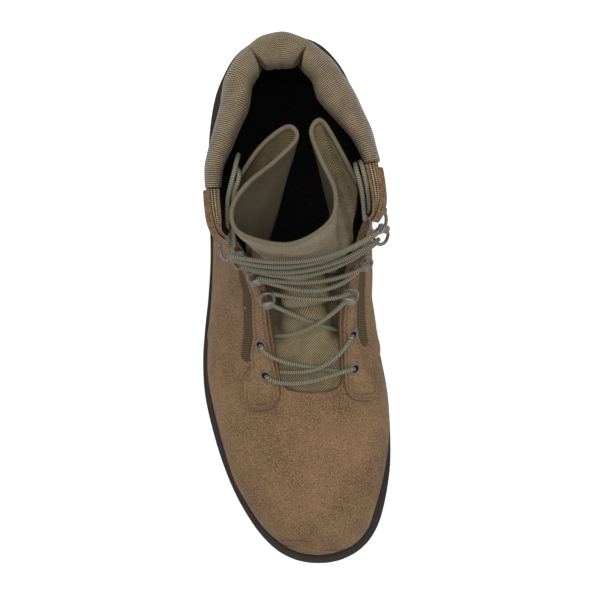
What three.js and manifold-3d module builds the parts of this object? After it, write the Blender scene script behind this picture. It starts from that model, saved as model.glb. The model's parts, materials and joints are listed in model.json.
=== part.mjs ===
// A right combat boot, size about EU 44, in millimetres.
// +Z is up, the toe points to -Y and +X is the medial (big toe) side.
// The origin is on the floor, in the middle of the sole's outline box.
import * as THREE from 'three';
import { mergeVertices } from 'three/addons/utils/BufferGeometryUtils.js';
import Module from 'manifold-3d';

const wasm = await Module();
wasm.setup();

// Driving dimensions.
const WALL = 2.2; // the upper's leather and lining
const GAP = 0.35; // clearance where curved pieces meet
const SEAT_GAP = 0.3; // clearance where level faces meet
const BELOW = -6; // under the floor, where the cutters start
const INSOLE_THICK = 5;
const FACING_THICK = 1.6;
const FACING_LIFT = 0.5; // the facing's underside above the upper
const TONGUE_THICK = 3;
const LACE = 2.8; // diameter of the round lace
const WIRE = 2.2; // diameter of the lace loops' wire
const COLLAR_SEAT = 149; // the upper's topline under the collar
const FACING_TOP = 186.5; // the upper's topline at the facings
const SPLIT = { y: 67.2, slope: 0.16 }; // where the collar ends and the facings begin, across the shaft
const HEEL_BREAST = 74; // the heel's front face
const TREAD_GROOVES = [...spread(4, 90, 141), ...spread(9, -132, -12)]; // each groove's middle, y
const GROOVE = { width: 5, depth: 4, bend: 12, reach: 90 }; // bend is how far its ends lie forward
const SOLE_EDGE = { foot: 2.6, low: 1.4, rise: 1.6, top: 0.9, shoulder: 1.2 }; // its rounded sides
const FACING_FACE = FACING_LIFT + FACING_THICK;

// The last: one row a section, from the toe's tip to the top of the shaft. A section is a plane
// from a low point (under the foot, then up the heel's back) to a high point (on the instep's
// ridge, then up the shaft's front). lateral and medial are how far it reaches to each side,
// widest is where it does so, from 0 at the low point to 1 at the high one. soft and crown are
// the roundness below and above that: 2 is an ellipse, more is squarer. slant turns the front
// of the shaft towards the lateral side.
const LAST = [
  // yLow  zLow  xLow  yHigh  zHigh xHigh lateral medial widest soft crown slant
  [-149.0, 25.0, 12.5, -149.0, 30.0, 12.5, 11.0, 14.0, 0.50, 2.0, 2.0, 0.0],
  [-147.6, 19.0, 12.5, -147.2, 37.5, 12.5, 1.0, 23.5, 0.45, 3.0, 2.0, 0.0],
  [-143.5, 16.5, 12.0, -142.0, 44.5, 12.0, -8.0, 33.5, 0.42, 4.0, 2.1, 0.0],
  [-134.5, 14.5, 11.0, -133.0, 50.5, 11.5, -18.5, 41.5, 0.40, 5.0, 2.2, 0.0],
  [-122.0, 13.0, 9.5, -120.0, 55.0, 10.5, -27.5, 46.0, 0.38, 5.0, 2.3, 0.0],
  [-106.0, 11.5, 8.0, -103.0, 59.5, 9.5, -36.5, 50.3, 0.37, 5.0, 2.35, 0.0],
  [-86.0, 10.5, 6.0, -82.0, 64.0, 9.0, -42.7, 53.4, 0.37, 5.0, 2.35, 0.0],
  [-66.0, 10.0, 3.5, -62.0, 70.5, 9.0, -47.5, 53.4, 0.36, 5.0, 2.3, 0.0],
  [-46.0, 10.5, 0.5, -43.0, 79.0, 8.5, -50.8, 50.5, 0.35, 5.0, 2.2, 0.0],
  [-24.0, 12.5, -1.5, -25.0, 90.0, 7.0, -51.0, 47.0, 0.35, 5.0, 2.1, 0.02],
  [2.0, 15.5, -3.5, -10.0, 102.0, 6.0, -48.5, 44.0, 0.36, 5.0, 2.1, 0.05],
  [32.0, 18.5, -5.0, 1.0, 114.5, 5.0, -47.0, 43.0, 0.38, 5.0, 2.1, 0.08],
  [65.0, 20.5, -6.0, 8.5, 126.5, 4.5, -46.5, 42.5, 0.42, 5.0, 2.1, 0.11],
  [100.0, 22.0, -6.8, 12.5, 138.0, 4.0, -47.0, 42.5, 0.46, 5.0, 2.25, 0.14],
  [131.0, 23.5, -7.0, 16.0, 148.5, 4.0, -47.0, 42.5, 0.50, 3.4, 2.4, 0.15],
  [146.0, 34.0, -7.0, 19.0, 158.0, 4.0, -46.5, 42.8, 0.53, 2.35, 2.6, 0.16],
  [149.0, 55.0, -7.0, 21.5, 167.0, 4.0, -46.0, 43.2, 0.57, 2.1, 2.7, 0.16],
  [146.5, 84.0, -7.5, 23.5, 175.5, 4.0, -46.0, 44.0, 0.62, 2.1, 2.8, 0.16],
  [143.0, 116.0, -8.0, 25.0, 183.5, 4.0, -46.5, 45.0, 0.68, 2.05, 2.8, 0.16],
  [142.5, 152.0, -8.0, 26.0, 190.5, 4.0, -47.0, 46.0, 0.75, 2.0, 2.8, 0.16],
  [143.5, 194.0, -8.0, 27.0, 197.0, 4.0, -47.5, 46.5, 0.80, 2.0, 2.8, 0.16],
];
const SECTIONS = LAST.length - 1;
// Behind the lateral ankle the shaft draws in by depth. The hollow starts and is full over
// front and low, and fades away over back and, towards the shoe's middle, over inner.
const HOLLOW = { depth: 3.2, front: [70, 100], back: [106, 124], inner: [-34, -8], low: [8, 30] };
const SHAFT_FROM = 14; // the first section whose points rise steadily with the shaft
const ROW_STEPS = [...spread(8, 0, 3.5), ...spread(16, 4.2, 15), ...spread(6, 16, SECTIONS)];
const AROUND = 28; // faces around each section

// The sole's outline, a row a station from the heel's back to the toe's tip.
const OUTLINE = [
  // y  lateral  medial
  [154.0, -8.5, -5.5],
  [152.8, -19.0, 5.5],
  [149.0, -28.0, 14.0],
  [142.0, -36.2, 21.5],
  [132.0, -42.2, 28.4],
  [118.0, -47.6, 34.0],
  [98.0, -50.8, 36.8],
  [75.0, -51.8, 37.8],
  [50.0, -51.0, 38.6],
  [25.0, -50.5, 39.6],
  [2.0, -51.8, 41.8],
  [-17.0, -53.8, 45.2],
  [-36.0, -55.0, 50.0],
  [-56.0, -53.8, 53.6],
  [-77.0, -49.2, 55.0],
  [-97.0, -43.0, 55.0],
  [-115.0, -35.4, 52.5],
  [-130.0, -26.6, 48.6],
  [-140.0, -18.8, 43.2],
  [-147.0, -11.0, 36.2],
  [-151.5, -2.5, 27.8],
  [-153.6, 5.5, 20.0],
  [-154.0, 11.0, 14.5],
];

// Heights along the sole: its top, and the tread's plane with the toe spring.
const SOLE_HEIGHTS = [
  // y  top  tread
  [154.0, 31.0, 1.2],
  [146.0, 31.0, 0.0],
  [100.0, 30.0, 0.0],
  [60.0, 28.5, 0.0],
  [20.0, 24.5, 0.0],
  [-20.0, 20.5, 0.0],
  [-60.0, 18.5, 0.0],
  [-88.0, 18.8, 0.0],
  [-108.0, 20.0, 1.4],
  [-128.0, 22.2, 4.0],
  [-142.0, 24.2, 6.4],
  [-154.0, 26.5, 9.0],
];

// The arch under the waist, from the heel's breast forward.
const ARCH = [
  // y  z
  [HEEL_BREAST, 11.0],
  [58.0, 10.5],
  [38.0, 8.0],
  [20.0, 4.4],
  [4.0, 1.0],
  [-2.0, -0.1],
];

// The throat's edges. up is the distance along the instep's slope, lateral and medial are X.
const THROAT = [
  // up  lateral  medial
  [0, -7.0, 25.5],
  [25, -8.5, 26.3],
  [45, -12.5, 25.3],
  [64, -15.0, 24.6],
  [84, -16.5, 26.0],
  [103, -22.5, 30.0],
  [120, -30.0, 35.5],
  [136, -36.0, 39.0],
  [152, -39.0, 41.0],
  [190, -40.5, 42.5],
];
const SLOPE = { up: [0.64, 0.77], out: [-0.77, 0.64] }; // (y, z) along the instep and away from it
const THROAT_BASE = 23;
const THROAT_CORNER = 7;
const THROAT_REACH = [46, 150]; // how deep and how high the throat's cut goes

// The facings: how wide the band is at each section, and where its rounded tab starts.
const FACINGS = {
  lateral: { side: -1, tab: 6.95, round: 0.5 },
  medial: { side: 1, tab: 7.25, round: 0.45 },
};
const FACING_INSET = 0.7;
const FACING_WIDTH = [
  // section  width
  [6.9, 18.5],
  [8.0, 18.5],
  [9.2, 16.5],
  [10.4, 14.0],
  [12.0, 14.0],
  [14.0, 18.0],
  [16.5, 23.0],
  [20.0, 27.0],
];

// The lacing: its section on each side, how far it sits from the throat's edge, and how far its
// strands start inside the throat. Loops also have a length.
const LACING = [
  { name: 'eyelet_1', lateral: 8.05, medial: 8.25, inset: 7.2, start: -0.8 },
  { name: 'eyelet_2', lateral: 9.05, medial: 9.3, inset: 6.8, start: -0.6 },
  { name: 'loop_3', lateral: 11.0, medial: 11.1, inset: 6.4, start: 5.2, long: 8.6 },
  { name: 'loop_4', lateral: 12.5, medial: 12.9, inset: 6.4, start: 5.2, long: 8.6 },
  { name: 'loop_5', lateral: 14.1, medial: 14.4, inset: 6.4, start: 5.2, long: 8.6 },
  { name: 'loop_6', lateral: 16.6, medial: 17.1, inset: 6.4, start: 8.6, long: 12.0 },
];
const EYELET = { hole: 2.3, rim: 4.4, high: 1.1 };
const LOOP = { wide: 8, plate: [7.5, 6.4, 1.1] };

// The tongue's folded shape at its top, from the lateral edge round the front to the medial
// edge, and where the same line lies when flat at the throat's base, from the ridge.
const TONGUE = [
  // x  y  z  flat
  [-36.0, 57.0, 172.0, -45],
  [-20.5, 80.5, 187.0, -39],
  [-5.0, 92.5, 194.0, -34],
  [0.2, 86.5, 195.0, -31],
  [-11.0, 74.5, 195.0, -28],
  [-26.5, 61.5, 196.0, -25],
  [-34.3, 48.0, 196.5, -22],
  [-29.5, 35.5, 197.0, -18],
  [-4.0, 29.8, 197.0, 0],
  [17.0, 41.0, 197.0, 18],
  [20.8, 57.0, 196.5, 24],
  [12.5, 76.5, 196.0, 28],
  [8.0, 90.0, 195.0, 32],
  [13.0, 96.0, 194.0, 36],
  [20.5, 86.0, 187.0, 40],
  [33.0, 63.5, 172.0, 45],
];
const TONGUE_TUCK = 6.8; // the section where the tongue starts, under the vamp
const TONGUE_END = 19.6;
const TONGUE_EASE = 0.9; // slack between the lying tongue and the upper
const TONGUE_LEAN = 0.15; // how the folded shape leans forward as it goes down
const TONGUE_FOLDS = [0.42, 1.0]; // where along the tongue the folds begin and are full

// The padded collar's profile. out is from the shaft's surface, up is the height.
const COLLAR = [
  // out  up
  [0.6, 149.8],
  [1.4, 160.0],
  [1.5, 174.0],
  [0.0, 184.5],
  [-5.0, 190.0],
  [-11.0, 191.0],
  [-17.0, 186.5],
  [-19.0, 176.5],
  [-16.0, 164.5],
  [-9.0, 155.0],
  [-3.2, 149.8],
];
const COLLAR_MIDDLE = 172;
const COLLAR_OUT = 1.5; // the collar's outer face stands this far proud of the shaft
const COLLAR_ENDS = { thin: 0.42, over: 0.24, low: 0.1 }; // how the roll tapers to its ends
const COLLAR_CLEAR = 0.8; // between the collar's ends and the split
const COLLAR_DARTS = [0.385, 0.6]; // places along the collar from its lateral end
const DART = { wide: 0.012, deep: 0.22 };

// The strands of the lace: which rows of LACING they join, how far they sag towards the toe,
// in sections, and how far their middle is lifted from the surface of the last.
const STRANDS = [
  // lateral  medial  sag  lift
  [0, 0, 0.0, 0.4],
  [0, 1, 0.0, 0.4],
  [1, 0, 0.0, 2.6],
  [1, 2, 0.0, 0.4],
  [2, 1, 0.0, 2.6],
  [2, 3, -0.2, 0.8],
  [3, 2, -0.2, 3.0],
  [3, 4, -0.3, 1.6],
  [4, 3, -0.3, 3.8],
  [4, 5, -0.4, 2.6],
  [5, 4, -0.4, 4.8],
];

// Routes of the lace's ends, two on each side, from the top loops up inside the facings.
const LACE_ENDS = {
  lace_end_lateral_1: [
    [-37.0, 29.0, 165.0],
    [-37.2, 38.0, 170.5],
    [-37.1, 45.7, 177.0],
    [-36.7, 53.5, 184.0],
    [-35.7, 58.7, 188.0],
    [-34.3, 64.0, 190.0],
    [-33.0, 69.4, 189.0],
    [-32.0, 74.2, 184.5],
    [-31.4, 77.0, 177.0],
    [-31.4, 78.6, 168.0],
  ],
  lace_end_lateral_2: [
    [-33.9, 29.0, 165.5],
    [-34.1, 38.0, 171.0],
    [-34.0, 45.7, 177.6],
    [-33.6, 53.5, 184.6],
    [-32.6, 58.7, 188.6],
    [-31.1, 63.0, 190.6],
    [-30.6, 66.6, 189.4],
    [-31.0, 69.2, 185.0],
    [-31.7, 70.6, 177.5],
    [-32.4, 71.0, 169.0],
  ],
  lace_end_medial_1: [
    [39.6, 44.0, 169.0],
    [39.4, 50.0, 174.0],
    [38.6, 56.4, 180.0],
    [37.4, 62.6, 185.4],
    [36.2, 67.6, 188.0],
    [35.2, 71.6, 187.2],
    [34.6, 73.8, 182.0],
    [34.6, 74.2, 175.0],
    [35.0, 73.6, 168.0],
  ],
  lace_end_medial_2: [
    [37.0, 43.4, 169.6],
    [36.4, 49.4, 174.8],
    [35.6, 55.6, 180.8],
    [34.4, 61.4, 186.2],
    [33.2, 66.0, 188.8],
    [32.2, 69.6, 188.0],
    [31.8, 72.2, 183.6],
    [31.8, 73.2, 177.0],
    [32.2, 73.0, 170.0],
  ],
};

function smooth(table, place) {
  // Catmull-Rom through the rows; place counts rows from 0.
  const last = table.length - 1;
  const at = THREE.MathUtils.clamp(place, 0, last);
  const i = Math.min(Math.floor(at), last - 1);
  const f = at - i;
  const near = (k) => table[THREE.MathUtils.clamp(k, 0, last)];
  const [a, b, c, d] = [near(i - 1), near(i), near(i + 1), near(i + 2)];
  return b.map((_, k) => b[k] + 0.5 * f * (c[k] - a[k]
    + f * (2 * a[k] - 5 * b[k] + 4 * c[k] - d[k] + f * (3 * (b[k] - c[k]) + d[k] - a[k]))));
}

function lookup(table, key) {
  // Straight lines between the rows, by their first column, which rises or falls steadily.
  const rows = table[0][0] < table[table.length - 1][0] ? table : [...table].reverse();
  if (key <= rows[0][0]) return rows[0].slice(1);
  const i = rows.findIndex((row) => row[0] >= key);
  if (i < 0) return rows[rows.length - 1].slice(1);
  const f = (key - rows[i - 1][0]) / (rows[i][0] - rows[i - 1][0]);
  return rows[i].slice(1).map((v, k) => rows[i - 1][k + 1] * (1 - f) + v * f);
}

function bisect(low, high, test) {
  // The place between low and high where test turns from false to true.
  for (let i = 0; i < 30; i += 1) {
    const middle = (low + high) / 2;
    if (test(middle)) high = middle;
    else low = middle;
  }
  return (low + high) / 2;
}

const power = (value, exponent) => Math.sign(value) * Math.abs(value) ** exponent;

function hollowShare(x, y, z) {
  // How much of the hollow a point takes: 0 outside its area, 1 well inside.
  const { front, back, inner, low } = HOLLOW;
  const { smoothstep } = THREE.MathUtils;
  return smoothstep(y, ...front) * (1 - smoothstep(y, ...back)) *
    (1 - smoothstep(x, ...inner)) * smoothstep(z, ...low);
}

// The last's surface: section counts LAST's rows, turn goes from 0 at the high point to -1
// round the lateral side, or 1 round the medial side, at the low point.
function lastPoint(section, turn) {
  const [yLow, zLow, xLow, yHigh, zHigh, xHigh, lateral, medial, widest, soft, crown, slant] =
    smooth(LAST, section);
  const rise = Math.cos(turn * Math.PI);
  const side = Math.sin(turn * Math.PI);
  const round = 2 / (rise > 0 ? crown : soft);
  const along = widest + power(rise, round) * (rise > 0 ? 1 - widest : widest);
  const middle = xLow + (xHigh - xLow) * widest;
  const reach = (side < 0 ? middle - lateral : medial - middle) * power(side, round);
  const x = xLow + (xHigh - xLow) * along + reach;
  const y = yLow + (yHigh - yLow) * along + slant * x * along;
  const z = zLow + (zHigh - zLow) * along;
  return new THREE.Vector3(x + HOLLOW.depth * hollowShare(x, y, z), y, z);
}

function lastNormal(section, turn) {
  const [a, b] = [Math.max(section - 0.02, 0), Math.min(section + 0.02, SECTIONS)];
  const along = lastPoint(b, turn).sub(lastPoint(a, turn));
  const round = lastPoint(section, turn + 0.004).sub(lastPoint(section, turn - 0.004));
  return round.cross(along).normalize();
}

function skin(section, turn, offset = 0) {
  return lastPoint(section, turn).addScaledVector(lastNormal(section, turn), offset);
}

function lattice(rows, ends = true) {
  // A closed body from rings of the same number of points, with a fan over each end.
  const around = rows[0].length;
  const points = rows.flat();
  const faces = [];
  for (let i = 0; i + 1 < rows.length; i += 1) {
    for (let j = 0; j < around; j += 1) {
      const [a, b] = [i * around + j, i * around + ((j + 1) % around)];
      faces.push(a, b, a + around, b, b + around, a + around);
    }
  }
  if (ends) {
    for (const [i, flip] of [[0, true], [rows.length - 1, false]]) {
      const centre = rows[i].reduce((sum, p) => sum.add(p), new THREE.Vector3());
      points.push(centre.divideScalar(around));
      for (let j = 0; j < around; j += 1) {
        const [a, b] = [i * around + j, i * around + ((j + 1) % around)];
        faces.push(...(flip ? [b, a, points.length - 1] : [a, b, points.length - 1]));
      }
    }
  }
  const geometry = new THREE.BufferGeometry().setFromPoints(points);
  geometry.setIndex(faces);
  return geometry;
}

function outward(geometry) {
  // Turns the faces over if the body is inside out.
  const p = geometry.attributes.position;
  const index = geometry.index.array;
  const [a, b, c] = [new THREE.Vector3(), new THREE.Vector3(), new THREE.Vector3()];
  let volume = 0;
  for (let i = 0; i < index.length; i += 3) {
    a.fromBufferAttribute(p, index[i]);
    b.fromBufferAttribute(p, index[i + 1]);
    c.fromBufferAttribute(p, index[i + 2]);
    volume += a.dot(b.cross(c));
  }
  if (volume < 0) {
    for (let i = 0; i < index.length; i += 3) [index[i], index[i + 1]] = [index[i + 1], index[i]];
  }
  return geometry;
}

function solid(geometry) {
  const bare = new THREE.BufferGeometry();
  bare.setAttribute('position', geometry.attributes.position);
  bare.setIndex(geometry.index);
  const merged = outward(mergeVertices(bare, 1e-4));
  return new wasm.Manifold(new wasm.Mesh({
    numProp: 3,
    vertProperties: new Float32Array(merged.attributes.position.array),
    triVerts: new Uint32Array(merged.index.array),
  }));
}

function geometryOf(body) {
  const mesh = body.getMesh();
  const geometry = new THREE.BufferGeometry();
  geometry.setAttribute('position', new THREE.BufferAttribute(mesh.vertProperties, 3));
  geometry.setIndex(new THREE.BufferAttribute(mesh.triVerts, 1));
  return geometry;
}

function prism(outline, low, high, put) {
  // An outline of (u, v) pairs carried from low to high; put takes (u, v, w) into space.
  const ring = (w) => outline.map(([u, v]) => put(u, v, w));
  const shape = outline.map(([u, v]) => new THREE.Vector2(u, v));
  const faces = THREE.ShapeUtils.triangulateShape(shape, []).flatMap((f) => f);
  const n = outline.length;
  const index = [];
  for (let i = 0; i < faces.length; i += 3) {
    index.push(faces[i], faces[i + 1], faces[i + 2]);
    index.push(faces[i + 1] + n, faces[i] + n, faces[i + 2] + n);
  }
  for (let j = 0; j < n; j += 1) {
    const k = (j + 1) % n;
    index.push(k, j, j + n, k, j + n, k + n);
  }
  const geometry = new THREE.BufferGeometry().setFromPoints([...ring(low), ...ring(high)]);
  geometry.setIndex(index);
  return geometry;
}

function spread(count, low, high) {
  return Array.from({ length: count }, (_, i) => low + ((high - low) * i) / (count - 1));
}

function form(offset, rise) {
  // The last's form at an offset, with its open top carried on by rise.
  const rows = ROW_STEPS.map((section) =>
    Array.from({ length: AROUND }, (_, j) => skin(section, (2 * (j + 0.5)) / AROUND - 1, offset)));
  const top = rows[rows.length - 1].map((p) => new THREE.Vector3(p.x, p.y, p.z + rise));
  return solid(lattice([...rows, top]));
}

function alongSole(low, high) {
  // A slab wider than the shoe between two heights that are functions of y.
  const stations = [175, ...SOLE_HEIGHTS.map((row) => row[0]), -175];
  return solid(lattice(stations.map((y) => [
    new THREE.Vector3(-90, y, low(y)),
    new THREE.Vector3(90, y, low(y)),
    new THREE.Vector3(90, y, high(y)),
    new THREE.Vector3(-90, y, high(y)),
  ])));
}

const upright = (u, v, w) => new THREE.Vector3(u, v, w);
const soleTop = (y) => lookup(SOLE_HEIGHTS, y)[0];
const tread = (y) => lookup(SOLE_HEIGHTS, y)[1];

function outsole() {
  const rows = spread(51, 0, OUTLINE.length - 1).map((place) => {
    const [y, lateral, medial] = smooth(OUTLINE, place);
    const half = (medial - lateral) / 2;
    const middle = (medial + lateral) / 2;
    const edge = (inset, z) => {
      const reach = Math.max(half - inset, half * 0.3);
      return [new THREE.Vector3(middle - reach, y, z), new THREE.Vector3(middle + reach, y, z)];
    };
    const bottom = edge(SOLE_EDGE.foot, tread(y));
    const low = edge(SOLE_EDGE.low, tread(y) + SOLE_EDGE.rise);
    const high = edge(0, soleTop(y) - SOLE_EDGE.shoulder);
    const top = edge(SOLE_EDGE.top, soleTop(y));
    return [bottom[0], bottom[1], low[1], high[1], top[1], top[0], high[0], low[0]];
  });
  let body = solid(lattice(rows));
  const arch = [[HEEL_BREAST, BELOW], ...ARCH, [ARCH[ARCH.length - 1][0], BELOW]];
  const across = (y, z, x) => new THREE.Vector3(x, y, z);
  body = body.subtract(solid(prism(arch, -GROOVE.reach, GROOVE.reach, across)));
  const { width, depth, bend, reach } = GROOVE;
  for (const y of TREAD_GROOVES) {
    const [back, front] = [y + width / 2, y - width / 2];
    const bar = [
      [-reach, front - bend], [0, front], [reach, front - bend],
      [reach, back - bend], [0, back], [-reach, back - bend],
    ];
    body = body.subtract(solid(prism(bar, BELOW, tread(y) + depth, upright)));
  }
  return body;
}

function upSlope(y, z) {
  // Splits a place in the side view into its way up the slope and away from it.
  return [SLOPE.up[0] * y + SLOPE.up[1] * z, SLOPE.out[0] * y + SLOPE.out[1] * z];
}

function throatCut() {
  const base = lookup(THROAT, THROAT_BASE);
  const middle = (base[0] + base[1]) / 2;
  const half = (base[1] - base[0]) / 2;
  const foot = spread(9, Math.PI, 2 * Math.PI).map((a) => [
    middle + half * power(Math.cos(a), 0.6),
    THROAT_BASE + THROAT_CORNER * (1 + power(Math.sin(a), 0.6)),
  ]);
  const ups = THROAT.map((row) => row[0]).filter((up) => up > THROAT_BASE + THROAT_CORNER);
  const edge = (k) => ups.map((up) => [lookup(THROAT, up)[k], up]);
  const outline = [...foot, ...edge(1), ...edge(0).reverse()];
  const [low, high] = THROAT_REACH;
  return solid(prism(outline, low, high, (x, up, out) => new THREE.Vector3(
    x,
    SLOPE.up[0] * up + SLOPE.out[0] * out,
    SLOPE.up[1] * up + SLOPE.out[1] * out,
  )));
}

function upperBody() {
  let body = form(0, 10).subtract(form(-WALL, 30));
  body = body.subtract(alongSole(() => -20, (y) => soleTop(y) + SEAT_GAP));
  body = body.subtract(throatCut());
  const box = (yLeft, yRight) => [[-90, yLeft], [90, yRight], [90, 220], [-90, 220]];
  body = body.subtract(solid(prism(box(-90, -90), FACING_TOP, 260, upright)));
  const behind = box(SPLIT.y - 90 * SPLIT.slope, SPLIT.y + 90 * SPLIT.slope);
  body = body.subtract(solid(prism(behind, COLLAR_SEAT, 260, upright)));
  return body;
}

function insole() {
  const low = (y) => soleTop(y) + SEAT_GAP;
  return form(-WALL - GAP, 0).intersect(alongSole(low, (y) => low(y) + INSOLE_THICK));
}

// Places on the facings.
function edgeTurn(section, side) {
  const [column, start, end] = side < 0 ? [0, -0.02, -0.6] : [1, 0.02, 0.6];
  return bisect(start, end, (turn) => {
    const p = lastPoint(section, turn);
    const x = lookup(THROAT, upSlope(p.y, p.z)[0])[column];
    return side < 0 ? p.x < x : p.x > x;
  });
}

function walk(section, side, distance) {
  // The turn that lies that far out from the throat's edge over the surface, or inside it.
  const step = 0.004 * side * Math.sign(distance);
  let turn = edgeTurn(section, side);
  let left = Math.abs(distance);
  let from = lastPoint(section, turn);
  while (left > 0) {
    turn += step;
    const to = lastPoint(section, turn);
    left -= to.distanceTo(from);
    from = to;
  }
  return turn;
}

function facingTurn(section, side, across) {
  const width = lookup(FACING_WIDTH, section)[0];
  return walk(section, side, FACING_INSET + across * width);
}

function facing({ side, tab, round }) {
  const columns = spread(7, 0, 1);
  const lines = columns.map((across) => {
    const start = tab + round * Math.abs(2 * across - 1) ** 3.5;
    const end = bisect(SHAFT_FROM, SECTIONS, (section) =>
      lastPoint(section, facingTurn(section, side, across)).z > FACING_TOP - FACING_INSET);
    return spread(15, start, end).map((section) => [section, facingTurn(section, side, across)]);
  });
  const sheet = (offset) => lines.map((line) => line.map(([s, t]) => skin(s, t, offset)));
  return slab(sheet(FACING_LIFT), sheet(FACING_LIFT + FACING_THICK));
}

function slab(under, over) {
  // A closed sheet between two grids of points.
  const rows = under.map((line, i) => [...line, ...[...over[i]].reverse()]);
  const geometry = lattice(rows, false);
  const faces = [...geometry.index.array];
  const around = rows[0].length;
  const half = under[0].length;
  for (const [i, flip] of [[0, true], [rows.length - 1, false]]) {
    for (let j = 0; j + 1 < half; j += 1) {
      const [a, b] = [i * around + j, i * around + j + 1];
      const [c, d] = [i * around + (around - 1 - j), i * around + (around - 2 - j)];
      faces.push(...(flip ? [b, a, c, b, c, d] : [a, b, c, b, d, c]));
    }
  }
  geometry.setIndex(faces);
  return solid(geometry);
}

function tongueMiddle(place, row) {
  // place goes from 0 under the vamp to 1 at the top, row counts TONGUE's rows.
  const [x, y, z, flat] = smooth(TONGUE, row);
  const section = TONGUE_TUCK + (TONGUE_END - TONGUE_TUCK) * place;
  const side = flat < 0 ? -1 : 1;
  let turn = 0;
  let left = Math.abs(flat) * (1 - 0.2 * place);
  let from = lastPoint(section, 0);
  while (left > 0) {
    turn += side * 0.01;
    const to = lastPoint(section, turn);
    const step = to.distanceTo(from);
    if (step > left) turn -= side * 0.01 * (1 - left / step);
    left -= step;
    from = to;
  }
  const lying = skin(section, turn, -WALL - GAP - TONGUE_EASE - TONGUE_THICK / 2);
  const foot = skin(TONGUE_TUCK, 0, 0).z;
  const height = foot + (z - foot) * place;
  const folded = new THREE.Vector3(x, y - TONGUE_LEAN * (z - height), height);
  const [begin, full] = TONGUE_FOLDS;
  return lying.lerp(folded, THREE.MathUtils.smoothstep(place, begin, full));
}

function tongue() {
  const places = spread(12, 0, 1);
  const rows = spread(33, 0, TONGUE.length - 1);
  const middle = places.map((place) => rows.map((row) => tongueMiddle(place, row)));
  const sheet = (offset) => middle.map((line, i) => line.map((p, j) => {
    const [a, b] = [middle[Math.max(i - 1, 0)][j], middle[Math.min(i + 1, places.length - 1)][j]];
    const [c, d] = [line[Math.max(j - 1, 0)], line[Math.min(j + 1, rows.length - 1)]];
    const normal = d.clone().sub(c).cross(b.clone().sub(a)).normalize();
    return p.clone().addScaledVector(normal, offset);
  }));
  return slab(sheet(-TONGUE_THICK / 2), sheet(TONGUE_THICK / 2));
}

function atHeight(turn, z) {
  return bisect(SHAFT_FROM - 2, SECTIONS, (section) => lastPoint(section, turn).z > z);
}

function collarEnd(side, z) {
  // The turn where the collar ends at a height, just behind the split line.
  return side * bisect(0.15, 0.9, (turn) => {
    const p = lastPoint(atHeight(side * turn, z), side * turn);
    return p.y > SPLIT.y + SPLIT.slope * p.x + COLLAR_CLEAR;
  });
}

function collar() {
  // place goes from the lateral end back and round to the medial end.
  const profile = spread(12, 0, COLLAR.length - COLLAR.length / 12)
    .map((place) => smoothLoop(COLLAR, place));
  const rows = spread(33, 0, 1).map((place) => {
    const { thin, over, low } = COLLAR_ENDS;
    const full = THREE.MathUtils.smoothstep(Math.min(place, 1 - place), -0.02, over);
    const dart = COLLAR_DARTS.reduce((sum, at) =>
      sum + DART.deep * Math.exp(-(((place - at) / DART.wide) ** 2)), 0);
    const deep = (thin + (1 - thin) * full) * (1 - dart);
    const high = (1 - low * (1 - full) ** 2) * (1 - dart / 2);
    return profile.map(([out, up]) => {
      const reach = COLLAR_OUT + (out - COLLAR_OUT) * deep;
      const z = up > COLLAR_MIDDLE ? COLLAR_MIDDLE + (up - COLLAR_MIDDLE) * high : up;
      const [lateral, medial] = [collarEnd(-1, z), collarEnd(1, z)];
      const turn = lateral - (2 + lateral - medial) * place;
      const section = atHeight(turn, z);
      const normal = lastNormal(section, turn).setZ(0).normalize();
      return lastPoint(section, turn).setZ(z).addScaledVector(normal, reach);
    });
  });
  return solid(lattice(rows));
}

function smoothLoop(table, place) {
  const n = table.length;
  const i = Math.floor(place);
  const f = place - i;
  const [a, b, c, d] = [i - 1, i, i + 1, i + 2].map((k) => table[(k + n) % n]);
  return b.map((_, k) => b[k] + 0.5 * f * (c[k] - a[k]
    + f * (2 * a[k] - 5 * b[k] + 4 * c[k] - d[k] + f * (3 * (b[k] - c[k]) + d[k] - a[k]))));
}

function seat(row, side) {
  const { lateral, medial, inset } = LACING[row];
  const section = side < 0 ? lateral : medial;
  return [section, walk(section, side, inset)];
}

function frameAt(section, turn, offset) {
  // A place on the facing with its axes: across towards the throat, up the facing, and out.
  const origin = skin(section, turn, offset);
  const out = lastNormal(section, turn);
  const towards = lastPoint(section, turn - Math.sign(turn) * 0.01).sub(lastPoint(section, turn));
  const across = towards.addScaledVector(out, -towards.dot(out)).normalize();
  const up = out.clone().cross(across);
  return new THREE.Matrix4().makeBasis(across, up, out).setPosition(origin);
}

function eyelet(row, side) {
  const { hole, rim, high } = EYELET;
  const wall = (rim - hole) / 2;
  const profile = [
    [hole, 0], [rim, 0], [rim - 0.3 * wall, high * 0.75],
    [hole + wall, high], [hole, high * 0.7], [hole, 0],
  ].map(([r, z]) => new THREE.Vector2(r, z));
  const geometry = new THREE.LatheGeometry(profile, 10).rotateX(Math.PI / 2);
  return solid(placed(geometry, frameAt(...seat(row, side), FACING_FACE + GAP)));
}

function placed(geometry, matrix) {
  const bare = new THREE.BufferGeometry();
  bare.setAttribute('position', geometry.attributes.position);
  if (geometry.index) bare.setIndex(geometry.index);
  return mergeVertices(bare, 1e-4).applyMatrix4(matrix);
}

function tube(points, diameter, sides, steps) {
  const curve = new THREE.CatmullRomCurve3(points, false, 'centripetal');
  const round = new THREE.Shape(spread(sides + 1, 0, 2 * Math.PI).slice(0, sides)
    .map((a) => new THREE.Vector2(Math.cos(a), Math.sin(a)).multiplyScalar(diameter / 2)));
  const options = { steps, extrudePath: curve, curveSegments: 1 };
  return placed(new THREE.ExtrudeGeometry(round, options), new THREE.Matrix4());
}

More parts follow.
